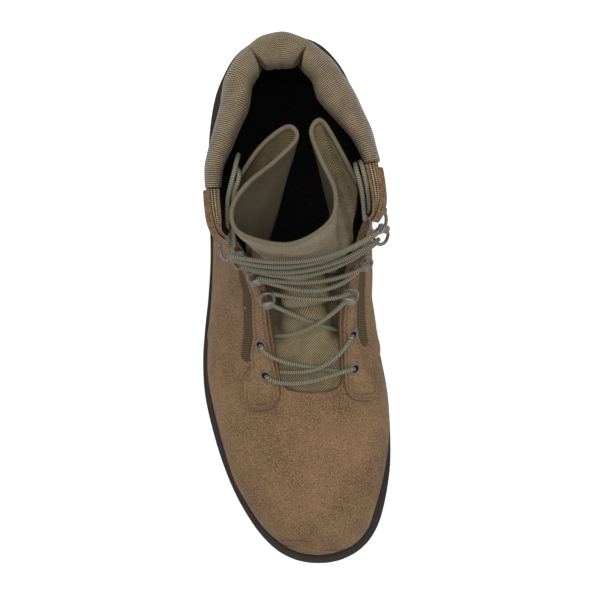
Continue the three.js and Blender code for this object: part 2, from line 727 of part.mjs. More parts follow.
function loop(row, side) {
  // A wire loop whose feet stand in a small plate, its bow reaching over the throat's edge.
  const { long } = LACING[row];
  const { wide, plate } = LOOP;
  const [w, d] = [wide / 2, WIRE / 2];
  const arm = (side) => [
    [-1.5, side * w, d + 0.4], [1.5, side * w, d + 0.9],
    [long - 3.4, side * w * 0.96, d + 1.7], [long - 0.8, side * w * 0.6, d + 2.1],
  ];
  const bow = [...arm(-1), [long, 0, d + 2.2], ...arm(1).reverse()]
    .map((p) => new THREE.Vector3(...p));
  const base = new THREE.BoxGeometry(plate[1], plate[0] + 3, plate[2] * 2);
  base.translate(-plate[1] / 2 + 1, 0, plate[2]);
  const matrix = frameAt(...seat(row, side), FACING_FACE + 2 * GAP);
  return solid(placed(tube(bow, WIRE, 5, 7), matrix)).add(solid(placed(base, matrix)));
}

function strandEnd(row, side) {
  // Where a strand starts: its section, its turn and its height over the last.
  const { lateral, medial, start, long } = LACING[row];
  const section = side < 0 ? lateral : medial;
  return [section, walk(section, side, -start), long ? 3.4 : FACING_FACE + GAP + LACE / 2];
}

function strand([lateral, medial, sag, lift]) {
  const [from, to] = [strandEnd(lateral, -1), strandEnd(medial, 1)];
  const points = spread(9, 0, 1).map((f) => {
    const bend = Math.sin(Math.PI * f);
    const [section, turn, high] = from.map((v, k) => v + (to[k] - v) * f);
    return skin(section + sag * bend, turn, high * (1 - bend) + lift * bend);
  });
  return solid(tube(points, LACE, 5, 6));
}

const GROUP = new THREE.Group();

function add(name, body, colour, roughness, metalness = 0) {
  const material = new THREE.MeshStandardMaterial({ color: colour, roughness, metalness });
  const mesh = new THREE.Mesh(geometryOf(body), material);
  mesh.name = name;
  GROUP.add(mesh);
}

add('outsole', outsole(), '#2d2623', 0.7);
add('upper', upperBody(), '#8a735a', 0.95);
add('insole', insole(), '#1c1a18', 0.9);
add('tongue', tongue(), '#877a5c', 0.9);
add('collar', collar(), '#6e6248', 0.9);
for (const [name, settings] of Object.entries(FACINGS)) {
  add(`facing_${name}`, facing(settings), '#80694f', 0.95);
}

LACING.forEach(({ name }, row) => {
  for (const [label, side] of [['lateral', -1], ['medial', 1]]) {
    const body = name.startsWith('eyelet') ? eyelet(row, side) : loop(row, side);
    add(`${name}_${label}`, body, '#55504a', 0.4, 0.9);
  }
});
add('lace_crossings', STRANDS.map(strand).reduce((sum, body) => sum.add(body)), '#6f7059', 0.9);
for (const [name, route] of Object.entries(LACE_ENDS)) {
  const points = route.map((p) => new THREE.Vector3(...p));
  add(name, solid(tube(points, LACE, 8, 10)), '#6f7059', 0.9);
}

export default GROUP;
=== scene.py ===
"""A right combat boot of suede and nylon, dressed over its CAD model. Tables are in millimetres."""

import json
import math
from functools import partial

import bmesh
import bpy
import numpy as np
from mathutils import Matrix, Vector
from mathutils.bvhtree import BVHTree

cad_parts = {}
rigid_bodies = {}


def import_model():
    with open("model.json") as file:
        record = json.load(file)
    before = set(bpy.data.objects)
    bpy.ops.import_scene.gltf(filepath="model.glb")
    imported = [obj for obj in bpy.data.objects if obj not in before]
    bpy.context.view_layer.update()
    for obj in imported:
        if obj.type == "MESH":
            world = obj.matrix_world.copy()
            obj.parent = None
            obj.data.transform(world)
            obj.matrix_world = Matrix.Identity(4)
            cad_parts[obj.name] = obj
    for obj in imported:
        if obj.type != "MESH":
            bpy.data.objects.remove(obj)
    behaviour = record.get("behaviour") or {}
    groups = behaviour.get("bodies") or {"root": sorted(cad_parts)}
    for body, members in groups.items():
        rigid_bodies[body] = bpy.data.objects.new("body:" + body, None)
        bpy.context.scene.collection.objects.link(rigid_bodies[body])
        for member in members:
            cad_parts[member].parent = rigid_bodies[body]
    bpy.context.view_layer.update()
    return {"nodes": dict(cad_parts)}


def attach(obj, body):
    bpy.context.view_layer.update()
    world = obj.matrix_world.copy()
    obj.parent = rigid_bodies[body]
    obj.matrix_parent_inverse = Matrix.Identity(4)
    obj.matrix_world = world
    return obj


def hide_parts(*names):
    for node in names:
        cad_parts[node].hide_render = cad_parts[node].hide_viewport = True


bl_info = {
    "name": "Combat Boot",
    "version": (1, 0, 0),
    "blender": (4, 5, 0),
    "location": "View3D > Sidebar > Boot",
    "description": "Builds a suede and nylon combat boot over its CAD model",
    "category": "Object",
}

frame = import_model()
MM = 0.001

# ---- The boot's own sizes, the same as the CAD model's ----
WALL = 2.2
GAP = 0.35
FACING_THICK = 1.6
FACING_LIFT = 0.5
FACING_FACE = FACING_LIFT + FACING_THICK
TONGUE_THICK = 3.0
COLLAR_SEAT = 149.0
FACING_TOP = 186.5
SPLIT_Y, SPLIT_SLOPE = 67.2, 0.16
LUG_DEPTH = 4.0
HEEL_BREAST = 74.0

# The last: one row a section, from the toe's tip to the top of the shaft.
# y low, z low, x low, y high, z high, x high, lateral, medial, widest, soft, crown, slant
LAST = np.array([
    [-149.0, 25.0, 12.5, -149.0, 30.0, 12.5, 11.0, 14.0, 0.50, 2.0, 2.0, 0.0],
    [-147.6, 19.0, 12.5, -147.2, 37.5, 12.5, 1.0, 23.5, 0.45, 3.0, 2.0, 0.0],
    [-143.5, 16.5, 12.0, -142.0, 44.5, 12.0, -8.0, 33.5, 0.42, 4.0, 2.1, 0.0],
    [-134.5, 14.5, 11.0, -133.0, 50.5, 11.5, -18.5, 41.5, 0.40, 5.0, 2.2, 0.0],
    [-122.0, 13.0, 9.5, -120.0, 55.0, 10.5, -27.5, 46.0, 0.38, 5.0, 2.3, 0.0],
    [-106.0, 11.5, 8.0, -103.0, 59.5, 9.5, -36.5, 50.3, 0.37, 5.0, 2.35, 0.0],
    [-86.0, 10.5, 6.0, -82.0, 64.0, 9.0, -42.7, 53.4, 0.37, 5.0, 2.35, 0.0],
    [-66.0, 10.0, 3.5, -62.0, 70.5, 9.0, -47.5, 53.4, 0.36, 5.0, 2.3, 0.0],
    [-46.0, 10.5, 0.5, -43.0, 79.0, 8.5, -50.8, 50.5, 0.35, 5.0, 2.2, 0.0],
    [-24.0, 12.5, -1.5, -25.0, 90.0, 7.0, -51.0, 47.0, 0.35, 5.0, 2.1, 0.02],
    [2.0, 15.5, -3.5, -10.0, 102.0, 6.0, -48.5, 44.0, 0.36, 5.0, 2.1, 0.05],
    [32.0, 18.5, -5.0, 1.0, 114.5, 5.0, -47.0, 43.0, 0.38, 5.0, 2.1, 0.08],
    [65.0, 20.5, -6.0, 8.5, 126.5, 4.5, -46.5, 42.5, 0.42, 5.0, 2.1, 0.11],
    [100.0, 22.0, -6.8, 12.5, 138.0, 4.0, -47.0, 42.5, 0.46, 5.0, 2.25, 0.14],
    [131.0, 23.5, -7.0, 16.0, 148.5, 4.0, -47.0, 42.5, 0.50, 3.4, 2.4, 0.15],
    [146.0, 34.0, -7.0, 19.0, 158.0, 4.0, -46.5, 42.8, 0.53, 2.35, 2.6, 0.16],
    [149.0, 55.0, -7.0, 21.5, 167.0, 4.0, -46.0, 43.2, 0.57, 2.1, 2.7, 0.16],
    [146.5, 84.0, -7.5, 23.5, 175.5, 4.0, -46.0, 44.0, 0.62, 2.1, 2.8, 0.16],
    [143.0, 116.0, -8.0, 25.0, 183.5, 4.0, -46.5, 45.0, 0.68, 2.05, 2.8, 0.16],
    [142.5, 152.0, -8.0, 26.0, 190.5, 4.0, -47.0, 46.0, 0.75, 2.0, 2.8, 0.16],
    [143.5, 194.0, -8.0, 27.0, 197.0, 4.0, -47.5, 46.5, 0.80, 2.0, 2.8, 0.16],
])
SECTIONS = len(LAST) - 1
# Behind the lateral ankle the shaft draws in by HOLLOW_DEPTH; each pair is where that starts
# or fades along one axis.
HOLLOW_DEPTH = 3.2
HOLLOW = {"front": (70, 100), "back": (124, 106), "inner": (-8, -34), "low": (8, 30)}
SHAFT_FROM = 14.0

# The sole's outline: y, lateral x, medial x.
OUTLINE = np.array([
    [154.0, -8.5, -5.5], [152.8, -19.0, 5.5], [149.0, -28.0, 14.0], [142.0, -36.2, 21.5],
    [132.0, -42.2, 28.4], [118.0, -47.6, 34.0], [98.0, -50.8, 36.8], [75.0, -51.8, 37.8],
    [50.0, -51.0, 38.6], [25.0, -50.5, 39.6], [2.0, -51.8, 41.8], [-17.0, -53.8, 45.2],
    [-36.0, -55.0, 50.0], [-56.0, -53.8, 53.6], [-77.0, -49.2, 55.0], [-97.0, -43.0, 55.0],
    [-115.0, -35.4, 52.5], [-130.0, -26.6, 48.6], [-140.0, -18.8, 43.2], [-147.0, -11.0, 36.2],
    [-151.5, -2.5, 27.8], [-153.6, 5.5, 20.0], [-154.0, 11.0, 14.5],
])

# Heights along the sole: y, its top, the tread's plane with the toe spring.
SOLE_HEIGHTS = np.array([
    [154.0, 31.0, 1.2], [146.0, 31.0, 0.0], [100.0, 30.0, 0.0], [60.0, 28.5, 0.0],
    [20.0, 24.5, 0.0], [-20.0, 20.5, 0.0], [-60.0, 18.5, 0.0], [-88.0, 18.8, 0.0],
    [-108.0, 20.0, 1.4], [-128.0, 22.2, 4.0], [-142.0, 24.2, 6.4], [-154.0, 26.5, 9.0],
])
ARCH = np.array([
    [HEEL_BREAST, 11.0], [58.0, 10.5], [38.0, 8.0], [20.0, 4.4], [4.0, 1.0], [-2.0, -0.1],
])
HEEL_GROOVES = np.linspace(90, 141, 4)
FOREFOOT_GROOVES = np.linspace(-132, -12, 9)
GROOVE_WIDTH, GROOVE_BEND, GROOVE_REACH = 5.0, 12.0, 90.0

# The throat's edges: way up the instep's slope, lateral x, medial x.
THROAT = np.array([
    [0, -7.0, 25.5], [25, -8.5, 26.3], [45, -12.5, 25.3], [64, -15.0, 24.6], [84, -16.5, 26.0],
    [103, -22.5, 30.0], [120, -30.0, 35.5], [136, -36.0, 39.0], [152, -39.0, 41.0],
    [190, -40.5, 42.5],
])
SLOPE_Y, SLOPE_Z = 0.64, 0.77
THROAT_BASE, THROAT_CORNER, CORNER_POWER = 23.0, 7.0, 2 / 0.6

# A facing's tab: the section where it starts on each side, how far its corners are rounded back,
# and the power of that rounding; then the band's inset from the throat, its width by section and
# its two rows of sewing, measured in from its border.
TAB_START = {-1: (6.95, 0.5), 1: (7.25, 0.45)}
TAB_POWER = 3.5
FACING_INSET = 0.7
FACING_WIDTH = np.array([
    [6.9, 25.0], [7.85, 24.0], [8.3, 15.0], [8.7, 14.0], [9.3, 10.6], [10.4, 9.4],
    [12.0, 8.8], [13.0, 11.4], [14.0, 16.5], [16.5, 23.0], [17.5, 28.0], [20.0, 32.5],
])

FACING_SEAMS = (2.2, 4.6)
# Near the throat a section is about this long.
SECTION_PITCH, TAB_PITCH = 17.0, 19.0

# The eyelets: lateral section, medial section, how far in from the throat's edge.
EYELETS = {"eyelet_1": (8.05, 8.25, 7.2), "eyelet_2": (9.05, 9.3, 6.8)}

# The tongue's folded line at its top, and where it lies flat at the throat's base: x, y, z, flat.
TONGUE = np.array([
    [-36.0, 57.0, 172.0, -45], [-20.5, 80.5, 187.0, -39], [-5.0, 92.5, 194.0, -34],
    [0.2, 86.5, 195.0, -31], [-11.0, 74.5, 195.0, -28], [-26.5, 61.5, 196.0, -25],
    [-34.3, 48.0, 196.5, -22], [-29.5, 35.5, 197.0, -18], [-4.0, 29.8, 197.0, 0],
    [17.0, 41.0, 197.0, 18], [20.8, 57.0, 196.5, 24], [12.5, 76.5, 196.0, 28],
    [8.0, 90.0, 195.0, 32], [13.0, 96.0, 194.0, 36], [20.5, 86.0, 187.0, 40],
    [33.0, 63.5, 172.0, 45],
])
TONGUE_TUCK, TONGUE_END, TONGUE_EASE, TONGUE_LEAN = 6.8, 19.6, 0.9, 0.15
TONGUE_FOLDS = (0.42, 1.0)

# The collar's profile: out from the shaft, up.
COLLAR = np.array([
    [0.6, 149.8], [1.4, 160.0], [1.5, 174.0], [0.0, 184.5], [-5.0, 190.0], [-11.0, 191.0],
    [-17.0, 186.5], [-19.0, 176.5], [-16.0, 164.5], [-9.0, 155.0], [-3.2, 149.8],
])
COLLAR_MIDDLE, COLLAR_OUT, COLLAR_CLEAR = 172.0, 1.5, 0.8
COLLAR_THIN, COLLAR_OVER, COLLAR_LOW = 0.42, 0.24, 0.1

# Routes of the lace's free ends, from the top loops up inside the facings.
LACE_ENDS = {
    "lace_end_lateral_1": [
        [-37.0, 29.0, 165.0], [-37.2, 38.0, 170.5], [-37.1, 45.7, 177.0], [-36.7, 53.5, 184.0],
        [-35.7, 58.7, 188.0], [-34.3, 64.0, 190.0], [-33.0, 69.4, 189.0], [-32.0, 74.2, 184.5],
        [-31.4, 77.0, 177.0], [-31.4, 78.6, 168.0]],
    "lace_end_lateral_2": [
        [-33.9, 29.0, 165.5], [-34.1, 38.0, 171.0], [-34.0, 45.7, 177.6], [-33.6, 53.5, 184.6],
        [-32.6, 58.7, 188.6], [-31.1, 63.0, 190.6], [-30.6, 66.6, 189.4], [-31.0, 69.2, 185.0],
        [-31.7, 70.6, 177.5], [-32.4, 71.0, 169.0]],
    "lace_end_medial_1": [
        [39.6, 44.0, 169.0], [39.4, 50.0, 174.0], [38.6, 56.4, 180.0], [37.4, 62.6, 185.4],
        [36.2, 67.6, 188.0], [35.2, 71.6, 187.2], [34.6, 73.8, 182.0], [34.6, 74.2, 175.0],
        [35.0, 73.6, 168.0]],
    "lace_end_medial_2": [
        [37.0, 43.4, 169.6], [36.4, 49.4, 174.8], [35.6, 55.6, 180.8], [34.4, 61.4, 186.2],
        [33.2, 66.0, 188.8], [32.2, 69.6, 188.0], [31.8, 72.2, 183.6], [31.8, 73.2, 177.0],
        [32.2, 73.0, 170.0]],
}


# ---- Curves and the last's surface ----
def smooth(table, place):
    """Catmull-Rom curve through a table's rows; place counts rows and may be a whole array."""
    last = len(table) - 1
    at = np.clip(np.asarray(place, float), 0, last)
    i = np.minimum(at.astype(int), last - 1)
    f = (at - i)[..., None]
    a, b, c, d = (table[np.clip(i + k, 0, last)] for k in (-1, 0, 1, 2))
    return b + 0.5 * f * (c - a + f * (2 * a - 5 * b + 4 * c - d + f * (3 * (b - c) + d - a)))


def lookup(table, key, column=1):
    """Straight lines between the rows, by their first column."""
    rows = table[np.argsort(table[:, 0])]
    return np.interp(key, rows[:, 0], rows[:, column])


def bisect(low, high, test):
    """The place between low and high where test turns from false to true, for whole arrays."""
    low, high = np.asarray(low, float), np.asarray(high, float)
    for _ in range(28):
        middle = (low + high) / 2
        found = test(middle)
        high, low = np.where(found, middle, high), np.where(found, low, middle)
    return (low + high) / 2


def step(low, high, value):
    """0 below low, 1 above high, and a smooth S between."""
    t = np.clip((value - low) / (high - low), 0, 1)
    return t * t * (3 - 2 * t)


def mesh_lines(start, *spans):
    """Mesh lines from start on: each span is where it ends and how many lines it has, its first
    one shared with the span before."""
    lines = [[start]]
    for end, count in spans:
        lines.append(np.linspace(start, end, count)[1:])
        start = end
    return np.concatenate(lines)


def unit(vectors):
    """Each vector over its length."""
    return vectors / np.maximum(np.linalg.norm(vectors, axis=-1, keepdims=True), 1e-9)


def power(value, exponent):
    """A power of the size that keeps the sign."""
    return np.sign(value) * np.abs(value) ** exponent


def hollow_share(x, y, z):
    """How much of the hollow behind the lateral ankle a point takes, from 0 to 1."""
    return (step(*HOLLOW["front"], y) * step(*HOLLOW["back"], y)
            * step(*HOLLOW["inner"], x) * step(*HOLLOW["low"], z))


def last_point(section, turn):
    """A point on the last: a superellipse round each section's low and high points, softer above
    its widest place than below; turn is 0 at the high point and -1 or 1 at the low one."""
    y0, z0, x0, y1, z1, x1, lateral, medial, widest, soft, crown, slant = np.moveaxis(
        smooth(LAST, section), -1, 0)
    rise, side = np.cos(turn * np.pi), np.sin(turn * np.pi)
    above = rise > 0
    bend = 2 / np.where(above, crown, soft)
    along = widest + power(rise, bend) * np.where(above, 1 - widest, widest)
    middle = x0 + (x1 - x0) * widest
    reach = np.where(side < 0, middle - lateral, medial - middle) * power(side, bend)
    x = x0 + (x1 - x0) * along + reach
    y, z = y0 + (y1 - y0) * along + slant * x * along, z0 + (z1 - z0) * along
    return np.stack([x + HOLLOW_DEPTH * hollow_share(x, y, z), y, z], -1)


def last_normal(section, turn):
    """The outward normal: the turn's direction crossed with the section's."""
    section = np.asarray(section, float)
    before, after = np.maximum(section - 0.02, 0), np.minimum(section + 0.02, SECTIONS)
    along = last_point(after, turn) - last_point(before, turn)
    around = last_point(section, turn + 0.004) - last_point(section, turn - 0.004)
    return unit(np.cross(around, along))


def skin(section, turn, offset=0.0):
    """A point that far off the last along its normal."""
    offset = np.asarray(offset, float)
    return last_point(section, turn) + last_normal(section, turn) * offset[..., None]


def up_slope(points):
    """How far up the instep's slope points lie: a share of their y plus a share of their z."""
    return SLOPE_Y * points[..., 1] + SLOPE_Z * points[..., 2]


SECTION_GRID = np.linspace(0, SECTIONS, 1001)
DISTANCE_STEP = 0.5
DISTANCE_GRID = np.arange(-40, 200, DISTANCE_STEP)


def reach_table(side, start):
    """Turn against distance over the last from a start turn, a row for each section: the length
    is summed along each section and read backwards."""
    offsets = np.linspace(-0.3, 1.0, 521)
    zero = 120  # the place of 0 in offsets
    turns = side * np.clip(np.abs(start)[:, None] + offsets, -0.45, 1.0)
    points = last_point(SECTION_GRID[:, None], turns)
    length = np.cumsum(np.linalg.norm(np.diff(points, axis=1), axis=-1), axis=1)
    length = np.concatenate([np.zeros((len(length), 1)), length], axis=1)
    length -= length[:, [zero]]
    return np.array([np.interp(DISTANCE_GRID, row, turn) for row, turn in zip(length, turns)])


def edge_turn(side):
    """The turn of the throat's side line at each section."""
    column = 1 if side < 0 else 2

    def beyond(turn):
        p = last_point(SECTION_GRID, turn)
        x = lookup(THROAT, up_slope(p), column)
        return p[..., 0] < x if side < 0 else p[..., 0] > x
    ones = np.ones(len(SECTION_GRID))
    return bisect(side * 0.02 * ones, side * 0.6 * ones, beyond)


FROM_EDGE = {side: reach_table(side, edge_turn(side)) for side in (-1, 1)}
FROM_RIDGE = {side: reach_table(side, np.zeros(len(SECTION_GRID))) for side in (-1, 1)}


def turn_at(table, section, distance):
    """Reads a reach table between its rows and columns."""
    s = np.clip(np.asarray(section) / SECTIONS * (len(SECTION_GRID) - 1), 0, len(SECTION_GRID) - 1.001)
    d = np.clip((distance - DISTANCE_GRID[0]) / DISTANCE_STEP, 0, len(DISTANCE_GRID) - 1.001)
    s, d = np.broadcast_arrays(s, d)
    i, j = s.astype(int), d.astype(int)
    f, g = s - i, d - j
    near = table[i, j] * (1 - g) + table[i, j + 1] * g
    far = table[i + 1, j] * (1 - g) + table[i + 1, j + 1] * g
    return near * (1 - f) + far * f


def at_height(turn, z):
    """The section whose point at that turn is at height z."""
    turn, z = np.broadcast_arrays(turn, z)
    low, high = np.full(turn.shape, SHAFT_FROM - 2), np.full(turn.shape, float(SECTIONS))
    return bisect(low, high, lambda s: last_point(s, turn)[..., 2] > z)


# ---- Meshes from grids ----
def lengths(points, axis):
    """Distance travelled along one axis of a grid of points, averaged over the other."""
    moved = np.linalg.norm(np.diff(points, axis=axis), axis=-1)
    total = np.cumsum(moved.mean(axis=1 - axis))
    return np.concatenate([[0.0], total])


def grid(points, uv=None, wrap=False, flip=False, slot=0, mask=None):
    """Quads over a grid of points; uv is in millimetres, and wrap joins the last column to the
    first, for which uv has one more column."""
    rows, columns = points.shape[:2]
    if uv is None:
        along, across = lengths(points, 0), lengths(points, 1)
        if wrap:
            closing = np.linalg.norm(points[:, 0] - points[:, -1], axis=-1).mean()
            across = np.append(across, across[-1] + closing)
        uv = np.stack(np.meshgrid(across, along), -1)
    i = np.arange(rows - 1)[:, None]
    j = np.arange(columns if wrap else columns - 1)[None, :]
    k = (j + 1) % columns
    quads = np.stack(np.broadcast_arrays(
        i * columns + j, i * columns + k, (i + 1) * columns + k, (i + 1) * columns + j), -1)
    corners = np.stack(np.broadcast_arrays(uv[i, j], uv[i, j + 1], uv[i + 1, j + 1], uv[i + 1, j]), 2)
    quads, corners = quads.reshape(-1, 4), corners.reshape(-1, 4, 2)
    if flip:
        quads, corners = quads[:, ::-1], corners[:, ::-1]
    masks = np.zeros(rows * columns) if mask is None else np.asarray(mask, float).reshape(-1)
    return {"points": points.reshape(-1, 3), "quads": quads, "uv": corners, "slot": slot,
            "mask": masks}


def slab(over, under, uv=None, edge_slot=0, under_slot=0, mask=None):
    """A closed sheet between two grids of points: both faces and the four edges between them."""
    parts = [grid(over, uv, mask=mask), grid(under, uv, flip=True, slot=under_slot)]
    for a, b in ((over[0], under[0]), (under[-1], over[-1]), (under[:, 0], over[:, 0]),
                 (over[:, -1], under[:, -1])):
        parts.append(grid(np.stack([a, b]), slot=edge_slot))
    return parts


def make(name, parts, materials, angle=42):
    """One mesh object from grids in millimetres, with its doubles merged and normals outwards."""
    points = np.concatenate([p["points"] for p in parts]) * MM
    starts = np.cumsum([0] + [len(p["points"]) for p in parts[:-1]])
    quads = np.concatenate([p["quads"] + s for p, s in zip(parts, starts)]).astype(np.int32)
    uv = np.concatenate([p["uv"] for p in parts]).astype(np.float32)
    slots = np.concatenate([np.full(len(p["quads"]), p["slot"]) for p in parts]).astype(np.int32)
    mesh = bpy.data.meshes.new(name)
    mesh.vertices.add(len(points))
    mesh.vertices.foreach_set("co", points.astype(np.float32).ravel())
    mesh.loops.add(quads.size)
    mesh.loops.foreach_set("vertex_index", quads.ravel())
    mesh.polygons.add(len(quads))
    mesh.polygons.foreach_set("loop_start", np.arange(0, quads.size, 4, dtype=np.int32))
    mesh.update(calc_edges=True)
    layer = mesh.uv_layers.new(name="UVMap")
    layer.data.foreach_set("uv", uv.ravel())
    mesh.polygons.foreach_set("material_index", slots)
    # the panel mask: woven nylon on the upper's panels, painted shade along the facings' edges and
    # seams
    attribute = mesh.attributes.new("panel", "FLOAT", "POINT")
    mask = np.concatenate([p["mask"] for p in parts]).astype(np.float32)
    attribute.data.foreach_set("value", mask)
    for m in materials:
        mesh.materials.append(m)
    work = bmesh.new()
    work.from_mesh(mesh)
    bmesh.ops.remove_doubles(work, verts=work.verts, dist=0.02 * MM)
    bmesh.ops.dissolve_degenerate(work, edges=work.edges, dist=0.002 * MM)
    bmesh.ops.recalc_face_normals(work, faces=work.faces)
    work.to_mesh(mesh)
    work.free()
    mesh.polygons.foreach_set("use_smooth", np.ones(len(mesh.polygons), dtype=bool))
    mesh.set_sharp_from_angle(angle=math.radians(angle))
    mesh.update()
    obj = bpy.data.objects.new(name, mesh)
    bpy.context.scene.collection.objects.link(obj)
    return obj


def dress(obj, slot, *nodes):
    """Rides on the boot's one body and stands for the CAD nodes; slot is not used."""
    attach(obj, "root")
    if nodes:
        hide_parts(*nodes)
    return obj


def along_path(points, spacing):
    """A path's points again at even spacing, with its unit tangents."""
    length = np.concatenate([[0], np.cumsum(np.linalg.norm(np.diff(points, axis=0), axis=-1))])
    count = max(int(round(length[-1] / spacing)) + 1, 4)
    at = np.linspace(0, length[-1], count)
    even = np.stack([np.interp(at, length, points[:, k]) for k in range(3)], -1)
    return even, unit(np.gradient(even, axis=0))


def curve(points, spacing=0.8):
    """A smooth path through its control points, at even spacing."""
    points = np.asarray(points, float)
    return along_path(smooth(points, np.linspace(0, len(points) - 1, len(points) * 16)), spacing)


def tube(points, tangents, radius, sides=12, slot=0):
    """A round section carried along a path without twisting; its ends close to a point."""
    normals = np.empty_like(points)
    first = np.cross(tangents[0], [0.3, 0.2, 1.0])
    normals[0] = first / np.linalg.norm(first)
    for k in range(1, len(points)):
        moved = normals[k - 1] - tangents[k] * np.dot(normals[k - 1], tangents[k])
        normals[k] = moved / np.linalg.norm(moved)
    sideways = np.cross(tangents, normals)
    a = np.arange(sides) / sides * 2 * np.pi
    ring = normals[:, None] * np.cos(a)[:, None] + sideways[:, None] * np.sin(a)[:, None]
    body = points[:, None] + ring * radius
    body = np.concatenate([np.repeat(points[:1, None], sides, 1), body,
                           np.repeat(points[-1:, None], sides, 1)])
    v = lengths(points[:, None], 0)
    v = np.concatenate([[v[0]], v, [v[-1]]])
    uv = np.stack(np.meshgrid(np.arange(sides + 1) / sides, v), -1)
    return grid(body, uv, wrap=True, slot=slot)


def stitches(path, out, pitch=2.9, long=2.1, radius=0.3, slot=0):
    """A row of thread stitches: one small capsule repeated at each step of a path over a surface,
    its ends sunk a little."""
    points, tangents = along_path(path, pitch)
    length = np.concatenate([[0], np.cumsum(np.linalg.norm(np.diff(path, axis=0), axis=-1))])
    at = np.linspace(0, length[-1], len(points))
    normals = unit(np.stack([np.interp(at, length, out[:, k]) for k in range(3)], -1))
    sideways = np.cross(tangents, normals)
    x = np.array([-1, -0.8, -0.3, 0.3, 0.8, 1]) * long / 2
    thick = np.array([0, 0.75, 1, 1, 0.75, 0]) * radius
    a = np.arange(6) / 6 * 2 * np.pi
    sunk = -0.45 * radius * (x / (long / 2)) ** 2
    body = (points[:, None, None] + tangents[:, None, None] * x[:, None, None]
            + sideways[:, None, None] * (thick[:, None] * np.cos(a))[..., None]
            + normals[:, None, None] * (thick[:, None] * np.sin(a) + sunk[:, None])[..., None])
    return [grid(one, wrap=True, slot=slot) for one in body]


# ---- Materials ----
def linear(colour):
    """An sRGB hex colour as linear RGBA."""
    parts = [int(colour[i:i + 2], 16) / 255 for i in (1, 3, 5)]
    return [c / 12.92 if c <= 0.04045 else ((c + 0.055) / 1.055) ** 2.4 for c in parts] + [1.0]


def node(tree, kind, inputs=(), output=0, **settings):
    """Adds one node and gives one of its outputs: settings are its own values, and inputs are the
    sockets to link, or the numbers and hex colours to set, by name or by place."""
    made = tree.nodes.new("ShaderNode" + kind)
    for key, value in settings.items():
        setattr(made, key, value)
    for key, value in inputs.items() if isinstance(inputs, dict) else enumerate(inputs):
        if isinstance(value, bpy.types.NodeSocket):
            tree.links.new(value, made.inputs[key])
        else:
            made.inputs[key].default_value = linear(value) if isinstance(value, str) else value
    return made.outputs[output]


def start(name, roughness, specular=0.5, metallic=0.0, sheen=0.0):
    """A new material with its shader, and node() ready to add to it."""
    made = bpy.data.materials.new(name)
    made.use_nodes = True
    shader = made.node_tree.nodes["Principled BSDF"]
    for key, value in (("Roughness", roughness), ("Specular IOR Level", specular),
                       ("Metallic", metallic), ("Sheen Weight", sheen), ("Sheen Roughness", 0.6)):
        shader.inputs[key].default_value = value
    return made, shader, partial(node, made.node_tree)


def join(material, shader, colour, normal):
    """Links the colour and the relief to the shader."""
    for key, socket in (("Base Color", colour), ("Normal", normal)):
        material.node_tree.links.new(socket, shader.inputs[key])
    return material


def weave(add, pitch, angle=0.0, dots=0.45):
    """Plain weave on UV millimetres: ribs across the cloth, |sin v|, broken up by the floats of
    the yarns that cross them, |sin u|."""
    turned = add("Mapping", {"Vector": add("TexCoord", output=2), "Rotation": (0, 0, angle),
                             "Scale": (math.pi / pitch,) * 3})
    u = add("Math", (add("Math", (add("SeparateXYZ", (turned,)),), operation="SINE"),),
            operation="ABSOLUTE")
    v = add("Math", (add("Math", (add("SeparateXYZ", (turned,), 1),), operation="SINE"),),
            operation="ABSOLUTE")
    floats = add("Math", (u, dots, 1 - dots), operation="MULTIPLY_ADD")
    return add("Math", (v, floats), operation="MULTIPLY")


def mottle(add, size, detail=2.0, roughness=0.5, low=0.3, high=0.7):
    """Patches about size millimetres across on the object, sharpened between low and high."""
    place = add("TexCoord", output=3)
    cloud = add("TexNoise", {"Vector": place, "Scale": 1 / (size * MM), "Detail": detail,
                             "Roughness": roughness})
    return add("MapRange", (cloud, low, high))


def suede(name, dark, middle, light, cloth=None, rut="#2e2319"):
    """Roughout suede: the nap scatters light, so it has no gloss; it lies darker or lighter in
    soft patches where it was brushed, and shows tufts of fibre about a millimetre across. Where
    cloth colours are given, the mesh's panel mask shows woven nylon; elsewhere it paints shade
    in a dark colour along the facings' edges and seams."""
    made, shader, add = start(name, 0.95, 0.1, sheen=0.01)
    tufts = mottle(add, 0.45, 1.0, 0.5, 0.3, 0.7)
    fibres = mottle(add, 0.9, 1.0, low=0.3, high=0.7)
    patches = add("Math", (mottle(add, 34, 1.0, 0.5, 0.34, 0.62), 0.6, 0.35),
                  operation="MULTIPLY_ADD")
    colour = add("Mix", {0: patches, 6: dark, 7: middle}, 2, data_type="RGBA")
    streaks = add("Math", (mottle(add, 9, 2.0, 0.5), 0.2), operation="MULTIPLY")
    colour = add("Mix", {0: streaks, 6: colour, 7: light}, 2, data_type="RGBA")
    grain = add("Math", (add("Math", (tufts, 0.68), operation="MULTIPLY"),
                         add("Math", (fibres, 0.32), operation="MULTIPLY")), operation="ADD")
    high = add("MapRange", (grain, 0.5, 0.9, 0.0, 0.85))
    colour = add("Mix", {0: high, 6: colour, 7: light}, 2, data_type="RGBA")
    deep = add("MapRange", (grain, 0.5, 0.1, 0.0, 0.7))
    colour = add("Mix", {0: deep, 6: colour, 7: dark}, 2, data_type="RGBA")
    height = grain
    mask = add("Attribute", output=2, attribute_name="panel")
    # painted shade: without cloth, the panel mask darkens the facings' edges and seams
    if not cloth:
        colour = add("Mix", {0: mask, 6: colour, 7: rut}, 2, data_type="RGBA")
    else:
        yarns = weave(add, 1.25)
        woven = add("Mix", {0: yarns, 6: cloth[0], 7: cloth[1]}, 2, data_type="RGBA")
        colour = add("Mix", {0: mask, 6: colour, 7: woven}, 2, data_type="RGBA")
        height = add("Mix", {0: mask, 2: height, 3: yarns}, 0)
    relief = add("Bump", {"Height": height, "Distance": 0.3 * MM, "Strength": 0.8})
    return join(made, shader, colour, relief)


